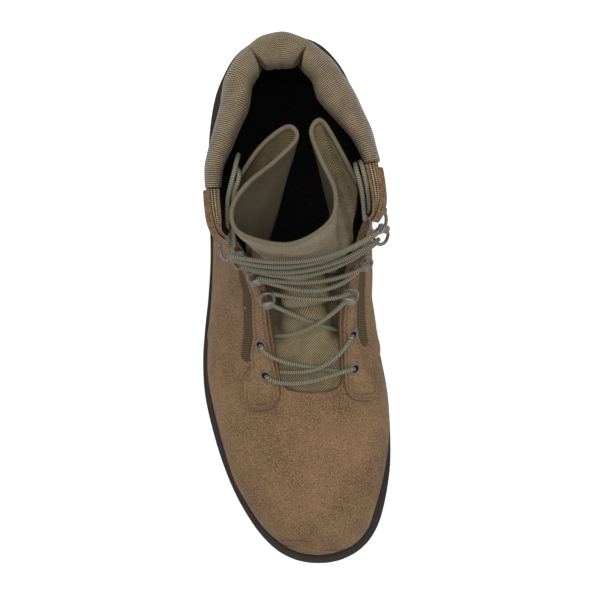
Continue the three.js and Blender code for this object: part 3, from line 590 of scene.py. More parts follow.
def nylon(name, dark, light, pitch=1.3, angle=0.0, dots=0.45, shade=None, depth=0.3):
    """Heavy packcloth: coarse, slightly shiny yarns in a plain weave. The weave is drawn about a
    quarter coarser than the real one so that it shows, and its yarns vary a little in shade."""
    made, shader, add = start(name, 0.62, 0.25, sheen=0.03)
    yarns = weave(add, pitch, angle, dots)
    colour = add("Mix", {0: add("MapRange", (yarns, 0.25, 0.75)), 6: dark, 7: light}, 2,
                 data_type="RGBA")
    worn = add("Math", (mottle(add, 9, 3.0, 0.6), 0.35), operation="MULTIPLY")
    colour = add("Mix", {0: worn, 6: colour, 7: shade or dark}, 2, data_type="RGBA")
    fleck = add("Math", (mottle(add, 1.1, 1.0, low=0.5, high=0.75), 0.3), operation="MULTIPLY")
    colour = add("Mix", {0: fleck, 6: colour, 7: dark}, 2, data_type="RGBA")
    relief = add("Bump", {"Height": yarns, "Distance": depth * MM, "Strength": 0.85})
    return join(made, shader, colour, relief)


def braid(name, dark, middle, light):
    """Round braided polyester lace: its yarns meet in small Vs along the cord, some of them near
    black, so it looks flecked. The Vs are drawn a little coarse so that they show."""
    made, shader, add = start(name, 0.75, 0.25)
    uv = add("TexCoord", output=2)
    around = add("Math", (add("SeparateXYZ", (uv,)), 4 * math.pi), operation="MULTIPLY")
    lobes = add("Math", (add("Math", (around,), operation="COSINE"),), operation="ABSOLUTE")
    slant = add("Math", (lobes, 3.2), operation="MULTIPLY")
    along = add("Math", (add("SeparateXYZ", (uv,), 1), 2 * math.pi / 1.2, slant),
                operation="MULTIPLY_ADD")
    cross = add("Math", (along,), operation="SINE")
    colour = add("Mix", {0: add("MapRange", (cross, -1.0, -0.35)), 6: dark, 7: middle}, 2,
                 data_type="RGBA")
    colour = add("Mix", {0: add("MapRange", (cross, 0.1, 0.9)), 6: colour, 7: light}, 2,
                 data_type="RGBA")
    relief = add("Bump", {"Height": cross, "Distance": 0.25 * MM, "Strength": 0.8})
    return join(made, shader, colour, relief)


def soft_finish(name, dark, light, grain=1.2, roughness=0.95, specular=0.15, depth=0.25,
                patch=18, patch_share=0.3, metallic=0.0):
    """A matt surface with one fine grain and slow patches of its darker colour: rubber, brushed
    knit, cut leather edges, thread, painted steel and paper, by its numbers."""
    made, shader, add = start(name, roughness, specular, metallic)
    fine = mottle(add, grain, 2.0, 0.6)
    colour = add("Mix", {0: fine, 6: dark, 7: light}, 2, data_type="RGBA")
    slow = add("Math", (mottle(add, patch, 4.0, 0.65, 0.42, 0.72), patch_share),
               operation="MULTIPLY")
    colour = add("Mix", {0: slow, 6: colour, 7: dark}, 2, data_type="RGBA")
    relief = add("Bump", {"Height": fine, "Distance": depth * MM, "Strength": 0.6})
    return join(made, shader, colour, relief)


# ---- The upper ----
PANEL_IN = 1.0  # the nylon panel starts this far under the facing's outer edge
PANEL_SINK = 1.0
PANEL_SEAM = 2.0  # the quarter's sewing runs this far outside the panel
THREAD_LIFT = 0.12
FEATHER = 0.5  # how far the upper draws in where it meets the sole
EDGE_ROLL = 0.35  # and how far its cut edge rolls in at the throat
FORK = 13.5  # the last row of sections; the rows past it lead up to the topline
PANEL_START = {-1: 8.4, 1: 8.85}
# How wide the panel shows, by section.
PANEL_WIDTH = {
    -1: np.array([[7.5, 8.0], [9.5, 9.0], [11.0, 10.0], [14.0, 13.0], [17.0, 18.0], [20.0, 22.0]]),
    1: np.array([[7.5, 10.0], [9.5, 12.5], [11.0, 14.0], [14.0, 15.0], [17.0, 18.0], [20.0, 22.0]]),
}
# Soft creases and swellings of the leather, on the top: x, y, direction in degrees, half length,
# half width, height (a trough is negative).
TOP_CREASES = np.array([
    [-30, -58, 20, 16, 3.2, -0.9], [-28, -52, 20, 15, 2.8, 0.5], [33, -52, -24, 13, 3.0, -0.8],
    [31, -46, -24, 12, 2.6, 0.45], [-6, -70, 4, 22, 6.0, -0.5], [10, -84, -8, 20, 7.0, 0.4],
    [-20, -88, 62, 16, 6.0, -0.55], [8, -112, 35, 22, 8.0, -0.5], [28, -98, -60, 15, 6.0, 0.35],
    [-13, -63, 8, 10, 2.0, -0.7], [-15, -67, 5, 9, 2.2, 0.5], [30, -60, -15, 8, 2.2, -0.5],
])
# The same on the sides, with y and z for the place and how deep they are on each side.
SIDE_CREASES = np.array([
    [-30, 38, 75, 16, 3.5, -1.2], [-22, 42, 70, 15, 3.2, 0.7], [-38, 34, 80, 12, 3.0, -0.7],
    [10, 62, 60, 20, 5.0, -1.0], [48, 92, 20, 24, 5.0, -1.4], [52, 101, 20, 24, 4.5, 0.9],
    [70, 112, 12, 26, 5.0, -1.2], [96, 66, 35, 24, 7.0, -0.6], [118, 104, -12, 20, 5.0, -1.0],
    [104, 128, 4, 30, 4.5, -0.9], [104, 137, 4, 30, 4.0, 0.7],
])


def creases(table, u, v):
    """Sums soft troughs and ridges: each is a bell across its width and along its length."""
    total = np.zeros(u.shape)
    for cu, cv, degrees, half, wide, height in table:
        c, s = math.cos(math.radians(degrees)), math.sin(math.radians(degrees))
        along, across = (u - cu) * c + (v - cv) * s, (v - cv) * c - (u - cu) * s
        total += height * np.exp(-(along / half) ** 2 - (across / wide) ** 2)
    return total


def sole_top(y):
    """The height of the sole's top at that y."""
    return lookup(SOLE_HEIGHTS, y, 1)


def tread(y):
    """The height of the tread's plane at that y."""
    return lookup(SOLE_HEIGHTS, y, 2)


def in_throat(points):
    """Whether points of the last lie in the throat's cut, whose lower corners are rounded."""
    up = up_slope(points)
    low, high = lookup(THROAT, up, 1), lookup(THROAT, up, 2)
    across = np.abs(points[..., 0] - (low + high) / 2) / ((high - low) / 2)
    down = np.clip((THROAT_BASE + THROAT_CORNER - up) / THROAT_CORNER, 0, None)
    return across ** CORNER_POWER + down ** CORNER_POWER < 1


def upper_lines(side):
    """For each section: the distances from the throat's side line of its ridge, the opening's
    edge and the lower edge at the sole."""
    table = FROM_EDGE[side]

    def point(distance):
        return last_point(SECTION_GRID, turn_at(table, SECTION_GRID, distance))
    ones = np.ones(len(SECTION_GRID))
    ridge = bisect(-38 * ones, 0 * ones, lambda d: side * turn_at(table, SECTION_GRID, d) > 0)
    opening = bisect(ridge, 3 * ones, lambda d: ~in_throat(point(d)))
    opening = np.where(in_throat(point(ridge + 0.05)), opening, ridge)

    def under(distance):
        p = point(distance)
        return p[..., 2] < sole_top(p[..., 1]) - 1.5
    bottom = bisect(5 * ones, 195 * ones, under)
    low_point = bisect(5 * ones, 195 * ones,
                       lambda d: np.abs(turn_at(table, SECTION_GRID, d)) > 0.9999)
    return ridge, opening, np.minimum(bottom, low_point)


UPPER_LINES = {side: upper_lines(side) for side in (-1, 1)}


def upper_distance(side, section, column):
    """Mesh lines of the upper: column runs 0 to 1 from the throat to the panel's inner edge, to 2
    across the panel and to 3 down to the sole or the heel's middle."""
    _, opening, bottom = (np.interp(section, SECTION_GRID, line) for line in UPPER_LINES[side])
    inner = FACING_INSET + lookup(FACING_WIDTH, section) - PANEL_IN
    outer = inner + lookup(PANEL_WIDTH[side], section)
    inner = np.minimum(inner, opening + (bottom - opening) * 0.4)
    outer = np.minimum(outer, opening + (bottom - opening) * 0.7)
    first, second, third = (np.clip(column - k, 0, 1) for k in range(3))
    return opening + (inner - opening) * first + (outer - inner) * second + (bottom - outer) * third


def panel_depth(side, section, distance):
    """The distance in from the nylon panel's outline, whose lower end is a half circle; it is
    negative on the suede."""
    inner = FACING_INSET + lookup(FACING_WIDTH, section) - PANEL_IN
    half = lookup(PANEL_WIDTH[side], section) / 2
    across = distance - inner - half
    along = (section - PANEL_START[side]) * SECTION_PITCH
    return half - np.where(along < half, np.hypot(across, np.minimum(along - half, 0)),
                           np.abs(across))


def upper_surface(side, rows, columns):
    """The upper's outside on one side: points of the last, raised by its creases and sunk at the
    nylon panel; the rows past FORK lead to the topline under the collar."""
    table = FROM_EDGE[side]

    def point(section, column):
        distance = upper_distance(side, section, column)
        return last_point(section, turn_at(table, section, distance))
    low, high = np.full(len(columns), FORK), np.full(len(columns), float(SECTIONS))
    top = bisect(low, high, lambda s: point(s, columns)[..., 2] > COLLAR_SEAT + 1.5)
    section = np.where(rows[:, None] <= FORK, rows[:, None],
                       FORK + (top[None, :] - FORK) * (rows[:, None] - FORK))
    column = np.broadcast_to(columns[None, :], section.shape)
    distance = upper_distance(side, section, column)
    turn = turn_at(table, section, distance)
    ridge, opening, _ = (np.interp(section, SECTION_GRID, line) for line in UPPER_LINES[side])
    closed = (column == 0) & (opening - ridge < 0.02)
    turn = np.where(closed, 0.0, turn)
    turn = np.where((column == 3) & (np.abs(turn) > 0.97), float(side), turn)
    base = last_point(section, turn)
    inside = panel_depth(side, section, distance)
    depth = -PANEL_SINK * step(-0.2, 0.7, inside) + 0.3 * np.exp(-((inside + 1.0) / 0.8) ** 2)
    steep = step(0.35, 0.75, np.abs(last_normal(section, turn)[..., 2]))
    wrinkle = steep * creases(TOP_CREASES, base[..., 0], base[..., 1])
    aside = (1 - steep) * step(136, 122, base[..., 1])
    wrinkle += aside * creases(SIDE_CREASES, base[..., 1] + 6 * side, base[..., 2])
    wrinkle *= step(1.0, 9.0, base[..., 2] - sole_top(base[..., 1]))
    full = FEATHER * step(0, 4, base[..., 2] - sole_top(base[..., 1]))
    edge = np.exp(-(distance - opening) ** 2) * (section > TONGUE_TUCK) * ~closed
    outer = skin(section, turn, depth + wrinkle + full - FEATHER - EDGE_ROLL * edge)
    inner = skin(section, turn, np.full(section.shape, -WALL))
    return outer, inner, step(0.15, 0.45, inside), opening - ridge


def split_turn(side, heights, clear=0.0):
    """The turn, as a positive number, where the last meets the split line at each height."""
    def behind(turn):
        p = last_point(at_height(side * turn, heights), side * turn)
        return p[..., 1] > SPLIT_Y + SPLIT_SLOPE * p[..., 0] + clear
    return bisect(np.full(len(heights), 0.15), np.full(len(heights), 0.9), behind)


def front_wing(side, front_offset, back_offset, below):
    """The top of the upper in front of the collar: from the throat's edge to the split line,
    level rows from the collar's seat up to the facings' top. Its offset eases from the front one
    to the back one, because the layers open towards the collar's padding."""
    heights, across = np.linspace(COLLAR_SEAT, FACING_TOP - below, 40), np.linspace(0, 1, 24)
    table = FROM_EDGE[side]
    low, high = np.full(len(heights), SHAFT_FROM - 1), np.full(len(heights), float(SECTIONS))
    section = bisect(low, high, lambda s: last_point(s, turn_at(table, s, 0.0))[..., 2] > heights)
    front = np.abs(turn_at(table, section, 0.0))
    back = split_turn(side, heights)
    turns = side * (front[:, None] + (back - front)[:, None] * across[None, :])
    sections = at_height(turns, np.broadcast_to(heights[:, None], turns.shape))
    ease = step(0, 1, across)[None, :]
    ruffle = 0.25 * np.sin(np.linspace(0, 9, len(across)) + side)[None, :]
    return skin(sections, turns, front_offset + (back_offset - front_offset) * ease + ruffle
                + np.zeros(turns.shape))


# The layers of the upper beside the collar's ends: how far off the last each layer's outer face
# is at its front and back, the same for its inner face, how far it ends below the facings' top,
# and the slots of its edges and its inner face.
WING_LAYERS = (
    (0.0, 0.0, -1.9, -1.9, 0.0, 2, 1),
    (-2.0, -2.0, -2.6, -5.2, 2.6, 3, 3),
    (-2.7, -5.3, -4.0, -7.0, 0.8, 2, 1),
)


def build_upper(materials):
    """The suede upper: on each side its outside and its lining, a wall's thickness apart, with
    strips between them along the throat, the topline and the sole, a fan that closes the toe's
    tip, and the layers beside the collar's ends."""
    rows = mesh_lines(0, (0.5, 12), (3, 36), (6.7, 46), (8.9, 84), (FORK, 54), (FORK + 1, 62))
    columns = mesh_lines(0, (1, 13), (1.8, 12), (2, 8), (2.08, 8), (3, 40))
    parts = []
    for side in (-1, 1):
        outer, inner, mask, gap = upper_surface(side, rows, columns)
        parts.append(grid(outer, mask=mask))
        parts.append(grid(inner, flip=True, slot=1))
        open_rows = gap[:, 0] > 0.02
        first = max(int(np.argmax(open_rows)) - 1, 0)
        parts.append(grid(np.stack([outer[first:, 0], inner[first:, 0]]), slot=2))
        parts.append(grid(np.stack([outer[-1], inner[-1]]), slot=2))
        under = outer[:, -1, 2] < sole_top(outer[:, -1, 1]) + 0.5
        last = len(rows) - int(np.argmax(under[::-1]))
        parts.append(grid(np.stack([outer[:last, -1], inner[:last, -1]]), slot=2))
        for ring, lift, slot in ((outer[0], 0.3, 0), (inner[0], -WALL, 1)):
            tip = (last_point(0.0, 0.0) + last_point(0.0, 1.0)) / 2 - [0, lift, 0]
            fan = np.stack([ring, np.repeat(tip[None], len(columns), axis=0)])
            parts.append(grid(fan, slot=slot))
        for out_front, out_back, in_front, in_back, below, edge_slot, under_slot in WING_LAYERS:
            parts += slab(front_wing(side, out_front, out_back, below),
                          front_wing(side, in_front, in_back, below),
                          edge_slot=edge_slot, under_slot=under_slot)
    return make("suede_upper", parts, materials)


# ---- The facings ----
def facing_place(side, across, section):
    """The turn on the last of a place on the facing, across its width."""
    width = lookup(FACING_WIDTH, section)
    return turn_at(FROM_EDGE[side], section, FACING_INSET + across * width)


def facing_sections(side, across):
    """Where a line along the facing starts, at its rounded tab, and ends, at its level top."""
    tab, bend = TAB_START[side]
    start_at = tab + bend * np.abs(2 * across - 1) ** TAB_POWER
    end = bisect(np.full(across.shape, SHAFT_FROM), np.full(across.shape, float(SECTIONS)),
                 lambda s: last_point(s, facing_place(side, across, s))[..., 2] > FACING_TOP - 0.7)
    return start_at, end


def build_facing(side, name, materials):
    """A facing: a sheet on the last whose border falls away as a quarter round, pressed in along
    its two seams, swollen between them at the tab, and slightly rippled."""
    across = mesh_lines(0, (0.1, 8), (0.9, 34), (1, 8))
    start_at, end = facing_sections(side, across)
    t = mesh_lines(0, (0.12, 40), (0.99, 190), (1, 5))
    first_seam, second_seam = FACING_SEAMS
    section = start_at[None, :] + (end - start_at)[None, :] * t[:, None]
    turn = facing_place(side, across[None, :], section)
    base = last_point(section, turn)
    width = lookup(FACING_WIDTH, section)
    along = np.concatenate([np.zeros((1, len(across))), np.cumsum(
        np.linalg.norm(np.diff(base, axis=0), axis=-1), axis=0)])
    border = np.minimum(np.minimum(across * width, (1 - across) * width),
                        np.minimum(along, along[-1] - along + 0.2))
    fall = 1.2 * (1 - np.sqrt(np.clip(1 - (1 - np.clip(border / 1.1, 0, 1)) ** 2, 0, 1)))
    low_end = step(16, 6, along)
    seam = -0.35 * np.exp(-((border - first_seam) / 0.55) ** 2)
    seam -= 0.35 * low_end * np.exp(-((border - second_seam) / 0.6) ** 2)
    swell = 0.35 * low_end * np.exp(-((border - 3.4) / 1.0) ** 2)
    ripple = 0.18 * np.sin(along / 2.4) * np.sin(along / 5.3 + 1) * step(0.5, 3, border)
    over = skin(section, turn, FACING_FACE - fall + seam + swell + ripple)
    under = skin(section, turn, np.full(section.shape, 0.05))
    # painted shade: darker along the facing's border and its two seams, carried in the panel mask
    painted_edge_shade = 0.75 * np.exp(-(border / 0.55) ** 2)
    painted_edge_shade = painted_edge_shade + 0.45 * np.exp(-((border - first_seam) / 0.45) ** 2)
    painted_edge_shade += 0.5 * low_end * np.exp(-((border - second_seam) / 0.45) ** 2)
    parts = slab(over, under, edge_slot=1, mask=np.clip(painted_edge_shade, 0, 1))
    for inset, top in zip(FACING_SEAMS, (18.6, 9.0)):
        parts += stitches(*facing_path(side, inset, FACING_FACE - THREAD_LIFT, top), slot=2)
    obj = make(name, parts, materials)
    return dress(obj, "facing_suede", "facing_lateral" if side < 0 else "facing_medial")


def facing_path(side, inset, rise, top):
    """A line of sewing down a facing from section top, round its tab and up again, inset from its
    border."""
    tab, bend = TAB_START[side]
    down = np.linspace(top, tab + bend + 0.05, 60)
    fraction = inset / lookup(FACING_WIDTH, down)
    turn_in = np.linspace(fraction[-1], 1 - fraction[-1], 40)
    round_at = tab + inset / TAB_PITCH + bend * np.abs(2 * turn_in - 1) ** TAB_POWER
    section = np.concatenate([down, round_at, down[::-1]])
    across = np.concatenate([fraction, turn_in, 1 - fraction[::-1]])
    turn = facing_place(side, across, section)
    return skin(section, turn, np.full(section.shape, rise)), last_normal(section, turn)


def panel_path(side, beyond, rise):
    """A line of sewing on the quarter, round the nylon panel's outer edge and lower end."""
    down = np.linspace(17.0, PANEL_START[side] + 0.25, 90)
    inner = FACING_INSET + lookup(FACING_WIDTH, down) - PANEL_IN
    half = lookup(PANEL_WIDTH[side], down) / 2
    a = np.linspace(0, 0.75, 16) * np.pi
    r = half[-1] + beyond
    end_section = down[-1] - r * np.sin(a) / SECTION_PITCH
    end_distance = inner[-1] + half[-1] + r * np.cos(a)
    section = np.concatenate([down, end_section])
    distance = np.concatenate([inner + 2 * half + beyond, end_distance])
    turn = turn_at(FROM_EDGE[side], section, distance)
    keep = last_point(section, turn)[..., 2] < COLLAR_SEAT - 2
    section, turn = section[keep], turn[keep]
    return skin(section, turn, np.full(section.shape, rise)), last_normal(section, turn)


def build_stitching(materials):
    """The quarters' sewing, a row of stitches round each nylon panel."""
    parts = []
    for side in (-1, 1):
        parts += stitches(*panel_path(side, PANEL_SEAM, THREAD_LIFT))
    return dress(make("quarter_stitching", parts, materials), "suede")


# ---- The collar ----
# The two darts at the collar's back: x, y of each one's tip on the crest, then of its inner end.
DARTS = ((-23.3, 133.8, -20.8, 125.4), (3.9, 134.5, 3.0, 126.6))
# How much thinner the roll is beside each dart, how far from it, and over what run.
THIN_BY, THIN_AT, THIN_RUN = 4.5, 10.0, 12.0
SEAM_X = -9.0  # the seam between the darts
CAP_SCALES, CAP_HEIGHT = (0.0, 0.5, 0.85), 0.6


def rounded_end(ring, before):
    """Rings that close an end of the roll as a low dome: each is the last ring drawn towards its
    middle, and pushed out by 1 less the square of its scale."""
    middle, out = ring.mean(axis=0), unit((ring - before).mean(axis=0))
    return [middle + (ring - middle) * k + out * (1 - k ** 2) * CAP_HEIGHT for k in CAP_SCALES]


def build_collar(materials):
    """The collar's roll: its profile stands off the shaft's surface, thinner towards its ends,
    pinched inwards at two darts, and crowned between its seams."""
    places = mesh_lines(0, (0.3, 80), (0.7, 330), (1, 80))
    count = 84
    loop = np.concatenate([COLLAR[-2:], COLLAR, COLLAR[:3]])
    profile = smooth(loop, 2 + np.arange(count) / count * len(COLLAR))
    table = np.linspace(148, 194, 93)
    ends = {side: side * split_turn(side, table, COLLAR_CLEAR) for side in (-1, 1)}
    p = places[:, None]
    full = step(-0.02, COLLAR_OVER, np.minimum(p, 1 - p))
    deep = COLLAR_THIN + (1 - COLLAR_THIN) * full
    high = 1 - COLLAR_LOW * (1 - full) ** 2
    out, up = profile[None, :, 0], profile[None, :, 1]
    angle = np.arctan2(up - COLLAR_MIDDLE, out + 9)
    inward = step(0.2, 1.0, -np.cos(angle)) * step(-0.9, 0.1, np.sin(angle) + 0.3)
    inner_side = step(-0.3, 0.7, -np.cos(angle))

    def at(reach, z):
        lateral, medial = np.interp(z, table, ends[-1]), np.interp(z, table, ends[1])
        turn = lateral - (2 + lateral - medial) * p
        section = at_height(turn, z)
        normal = last_normal(section, turn) * [1, 1, 0]
        base = last_point(section, turn)
        base[..., 2] = z
        base[..., 0] -= HOLLOW_DEPTH * inner_side * hollow_share(*np.moveaxis(base, -1, 0))
        return base + unit(normal) * reach[..., None]
    reach = COLLAR_OUT + (out - COLLAR_OUT) * deep
    z = np.where(up > COLLAR_MIDDLE, COLLAR_MIDDLE + (up - COLLAR_MIDDLE) * high, up)
    z = np.broadcast_to(z, reach.shape)
    plain = at(reach, z)
    ridge_line = plain[:, np.argmax(profile[:, 1]), :2]
    inner_line = plain[:, np.argmin(profile[:, 0]), :2]
    crest, back = ridge_line[:, 0], ridge_line[:, 1] > 110
    over_in = step(-0.4, 1.0, -np.cos(angle)) * step(-1.0, 0.2, np.sin(angle))
    pinch, dip, thin = np.zeros(reach.shape), np.zeros(len(places)), np.zeros(len(places))
    run, tips = lengths(ridge_line[:, None], 0), []
    for outward, (tip_x, tip_y, end_x, end_y) in zip((-1, 1), DARTS):
        tip = run[np.argmin(np.linalg.norm(ridge_line - [tip_x, tip_y], axis=1))]
        end = run[np.argmin(np.linalg.norm(inner_line - [end_x, end_y], axis=1))]
        off = np.abs(run[:, None] - (tip + (end - tip) * over_in))
        pinch = np.maximum(pinch, np.exp(-(off / (0.4 + 1.1 * over_in)) ** 1.6) * over_in ** 0.6)
        dip = np.maximum(dip, np.exp(-((run - tip) / 5.0) ** 2))
        tips.append(tip)
        thin = np.maximum(thin, np.exp(-((run - tip - outward * THIN_AT) / THIN_RUN) ** 2))
    between = step(-0.5, 0.5, run - tips[0]) * step(0.5, -0.5, run - tips[1])
    seam = np.where(back, np.exp(-((crest - SEAM_X) / 0.7) ** 2), 0.0)
    reach = reach + 12.0 * pinch * deep + 0.8 * dip[:, None] * inward
    reach = reach + THIN_BY * thin[:, None] * inner_side
    reach = reach + 0.5 * seam[:, None] * inward
    z = z - 7.0 * pinch - 1.2 * dip[:, None] * step(0, 1, np.sin(angle))
    z = z - 1.0 * between[:, None] * inward - 0.6 * seam[:, None] * step(0, 1, np.sin(angle))
    wave = 0.35 * np.sin(p * 46) * np.sin(p * 19 + angle)
    body = at(reach + wave * np.cos(angle), z + 0.3 * wave)
    rings = np.concatenate([rounded_end(body[0], body[3]), body,
                            rounded_end(body[-1], body[-4])[::-1]])
    v = lengths(rings, 0)
    sample = 180  # the ring whose length round stands for all of them
    around = np.append(lengths(rings[sample:sample + 2], 1), 0)
    around[-1] = around[-2] + np.linalg.norm(rings[sample, 0] - rings[sample, -1])
    uv = np.stack(np.meshgrid(around, v), -1)
    pad = (len(CAP_SCALES), len(CAP_SCALES))
    chevron, crest_all = np.pad(between, pad)[:, None], np.pad(crest, pad)[:, None]
    uv[..., 1] += chevron * 0.8 * np.sign(crest_all - SEAM_X) * uv[..., 0]
    obj = make("padded_collar", [grid(rings, uv, wrap=True)], materials)
    return dress(obj, "collar_nylon", "collar")


# ---- The tongue ----
def tongue_middle(place, row):
    """The tongue's middle: at its foot it lies under the upper along the instep, and towards its
    top it eases into the folded line, which leans forward as it goes down."""
    x, y, z, flat = np.moveaxis(smooth(TONGUE, row), -1, 0)
    section = TONGUE_TUCK + (TONGUE_END - TONGUE_TUCK) * place
    distance = np.abs(flat) * (1 - 0.2 * place)
    turn = np.where(flat < 0, turn_at(FROM_RIDGE[-1], section, distance),
                    turn_at(FROM_RIDGE[1], section, distance))
    below = -WALL - GAP - TONGUE_EASE - TONGUE_THICK / 2
    lying = skin(section, turn, np.full(np.broadcast(section, turn).shape, below))
    foot = skin(np.array(TONGUE_TUCK), np.array(0.0), 0.0)[2]
    height = foot + (z - foot) * place
    folded = np.stack(np.broadcast_arrays(x, y - TONGUE_LEAN * (z - height), height), -1)
    share = step(*TONGUE_FOLDS, place)[..., None]
    return lying * (1 - share) + folded * share


# Soft folds of the tongue inside the throat: y at the middle, slope, half width, depth.
TONGUE_FOLD_LINES = (
    (8.0, 0.15, 2.8, 6.0), (14.5, -0.12, 1.8, 2.0), (-6.0, 0.1, 2.2, 6.0), (0.5, 0.1, 3.0, -2.5),
    (22.0, 0.12, 2.4, 2.0),
)
# Where it sinks beside the facings: depth, the middle's distance from the throat's edge, half
# width, and where that starts and fades, up the slope and then along y.
SLOPE_POCKET = (8.0, 1.0, 5.5, (58, 70), (108, 90))
LOW_POCKET = (9.0, 0.0, 6.0, (-30, -18), (20, 8))
BINDING = 5.2  # how far the tape over its top edge reaches down


def pocket(shape, away, along):
    """How deep a pocket is: a bell across its width, faded in and out along its length."""
    deep, off, wide, rise, fall = shape
    return deep * np.exp(-((away - off) / wide) ** 2) * step(*rise, along) * step(*fall, along)


def build_tongue(materials):
    """The tongue: its middle surface, sunk at its folds and pockets and slightly waved, with a
    face on each side of it, half its thickness away, a bound top edge and a row of stitches."""
    place = np.linspace(0, 1, 176)[:, None]
    middle = tongue_middle(place, np.linspace(0, len(TONGUE) - 1, 240)[None, :])
    out = unit(np.cross(np.gradient(middle, axis=1), np.gradient(middle, axis=0)))
    across = lengths(middle[-2:], 1)[None, :]
    up = lengths(middle, 0)[:, None]
    half = TONGUE_THICK / 2 * (1 - 0.42 * step(0.55, 0.97, place))
    x, y = middle[..., 0], middle[..., 1]
    sink = np.zeros(x.shape)
    wave = 0.6 * np.sin(across / 7 + up / 13) * np.sin(up / 9.0) * step(0.02, 0.2, place)
    wave = wave * step(1.0, 0.8, place)
    for fold_y, slope, wide, deep in TONGUE_FOLD_LINES:
        sink -= deep * np.exp(-((y - fold_y - slope * (x - 4)) / wide) ** 2) * step(0.8, 0.5, place)
    slope_up = up_slope(middle)
    for edge, sign in ((1, 1), (2, -1)):
        away = sign * (x - lookup(THROAT, slope_up, edge))
        sink -= pocket(SLOPE_POCKET, away, slope_up)
        sink -= pocket(LOW_POCKET, away, y)
    seam = 0.25 * np.exp(-((up - up[-1] + 5.0) / 0.5) ** 2)
    middle = middle + out * sink[..., None]
    over = middle + out * (half + wave - seam)[..., None]
    under = middle - out * (half - wave * 0.6 - seam)[..., None]
    uv = np.stack(np.meshgrid(across[0], up[:, 0]), -1)
    # the underside and edges take slot 1, the tongue's nylon darkened as painted shade
    parts = slab(over, under, uv, edge_slot=1, under_slot=1)
    parts += binding(middle, out)
    low = int(np.argmax(up[:, 0] > up[-1, 0] - BINDING))
    for face, way in ((under, -out), (over, out)):
        parts += stitches(face[low], way[low], pitch=2.6, long=1.7, radius=0.28, slot=3)
    obj = make("bellows_tongue", parts, materials)
    return dress(obj, "tongue_nylon", "tongue")


def binding(middle, out):
    """The folded tape over the tongue's top edge: a U-shaped profile carried along the edge."""
    edge, normal = middle[-1], out[-1]
    rise = unit(middle[-1] - middle[-8])
    half = TONGUE_THICK / 2 * 0.58 + 0.3
    a = np.linspace(0, np.pi, 11)
    side = np.concatenate([[half - 0.3, half], half * np.cos(a), [-half, -half + 0.3]])
    hem = [-BINDING, -BINDING + 0.6]
    top = np.concatenate([hem, half * 0.8 * np.sin(a) - 0.4, hem[::-1]])
    body = (edge[:, None] + normal[:, None] * side[None, :, None]
            + rise[:, None] * top[None, :, None])
    ends = [np.repeat(b.mean(axis=0)[None], len(side), axis=0)[None] for b in (body[0], body[-1])]
    return [grid(np.concatenate([ends[0], body, ends[1]]), wrap=True, slot=2)]


# ---- The outsole ----
def outsole_slab():
    """The sole above its lugs: at each station across the foot, a flat top with a rounded rim, a
    side with one moulded line, and a bottom that follows the tread or the arch."""
    places = np.linspace(0, len(OUTLINE) - 1, 190)
    fine = np.linspace(0, len(OUTLINE) - 1, 4000)
    y_fine = smooth(OUTLINE, fine)[:, 0]
    extra = np.interp([-HEEL_BREAST - 0.06, -HEEL_BREAST + 0.06], -y_fine, fine)
    places = np.sort(np.concatenate([places, extra]))
    y, lateral, medial = smooth(OUTLINE, places).T
    half, middle = (medial - lateral) / 2, (medial + lateral) / 2
    arch = np.interp(y, ARCH[::-1, 0], ARCH[::-1, 1])
    under = np.where((y > HEEL_BREAST) | (y < ARCH[-1, 0]), tread(y) + LUG_DEPTH,
                     np.maximum(arch, tread(y) + LUG_DEPTH * step(10, ARCH[-1, 0], y)))
    top = sole_top(y)
    line = top - 8.5
    # the rim, the moulded line and the lower edge: how far in, and the height
    rows = [(1e9, top), (3.2, top), (1.3, top - 0.02), (0.55, top - 0.25), (0.12, top - 0.8),
            (0.0, top - 1.5), (0.0, line + 0.9), (0.12, line + 0.45), (0.7, line),
            (0.12, line - 0.45), (0.0, line - 0.9), (0.35, (line + under) / 2), (0.9, under + 1.2),
            (1.3, under + 0.5), (2.2, under), (1e9, under)]
    ring = []
    for sign in (1, -1):
        for inset, z in rows[::sign]:
            reach = np.zeros(len(y)) if inset > 1e8 else np.maximum(half - inset, half * 0.3)
            ring.append(np.stack([middle + sign * reach, y, np.maximum(z, under)], -1))
    body = np.stack(ring, 1)
    ends = [np.repeat(b.mean(axis=0)[None, None], body.shape[1], axis=1) for b in (body[0], body[-1])]
    return [grid(np.concatenate([ends[0], body, ends[1]]), wrap=True)]


def lug(low, high):
    """One chevron bar of the tread: its long edges bend forward away from the middle, and its
    ends follow the sole's outline."""
    rows = np.linspace(low, high, 7)[:, None]
    fine = smooth(OUTLINE, np.linspace(0, len(OUTLINE) - 1, 2000))[::-1]

    def ends(sign, inset):
        def past(x):
            y = rows[:, 0] - GROOVE_BEND * x / GROOVE_REACH
            lateral = np.interp(y, fine[:, 0], fine[:, 1])
            medial = np.interp(y, fine[:, 0], fine[:, 2])
            half = np.maximum((medial - lateral) / 2 - inset, 0)
            centre = (medial + lateral) / 2
            return sign * (sign * x - centre) > half
        return sign * bisect(np.zeros(len(rows)), np.full(len(rows), 70.0), past)

    def face(inset, rise, shrink):
        left, right = ends(-1, inset)[:, None], ends(1, inset)[:, None]
        f = np.linspace(0, 1, 25)[None, :]
        x = left + (right - left) * f
        centre = (low + high) / 2
        y = centre + (rows - centre) * shrink - GROOVE_BEND * np.abs(x) / GROOVE_REACH
        return np.stack([x, y, tread(y) + rise], -1)
    faces = [face(2.9, 0.0, 0.93), face(2.3, 0.35, 0.985), face(1.3, LUG_DEPTH + 1.5, 1.0)]
    parts = [grid(faces[0]), grid(faces[2])]
    for a, b in zip(faces, faces[1:]):
        for one, two in ((a[0], b[0]), (a[-1], b[-1]), (a[:, 0], b[:, 0]), (a[:, -1], b[:, -1])):
            parts.append(grid(np.stack([one, two])))
    return parts


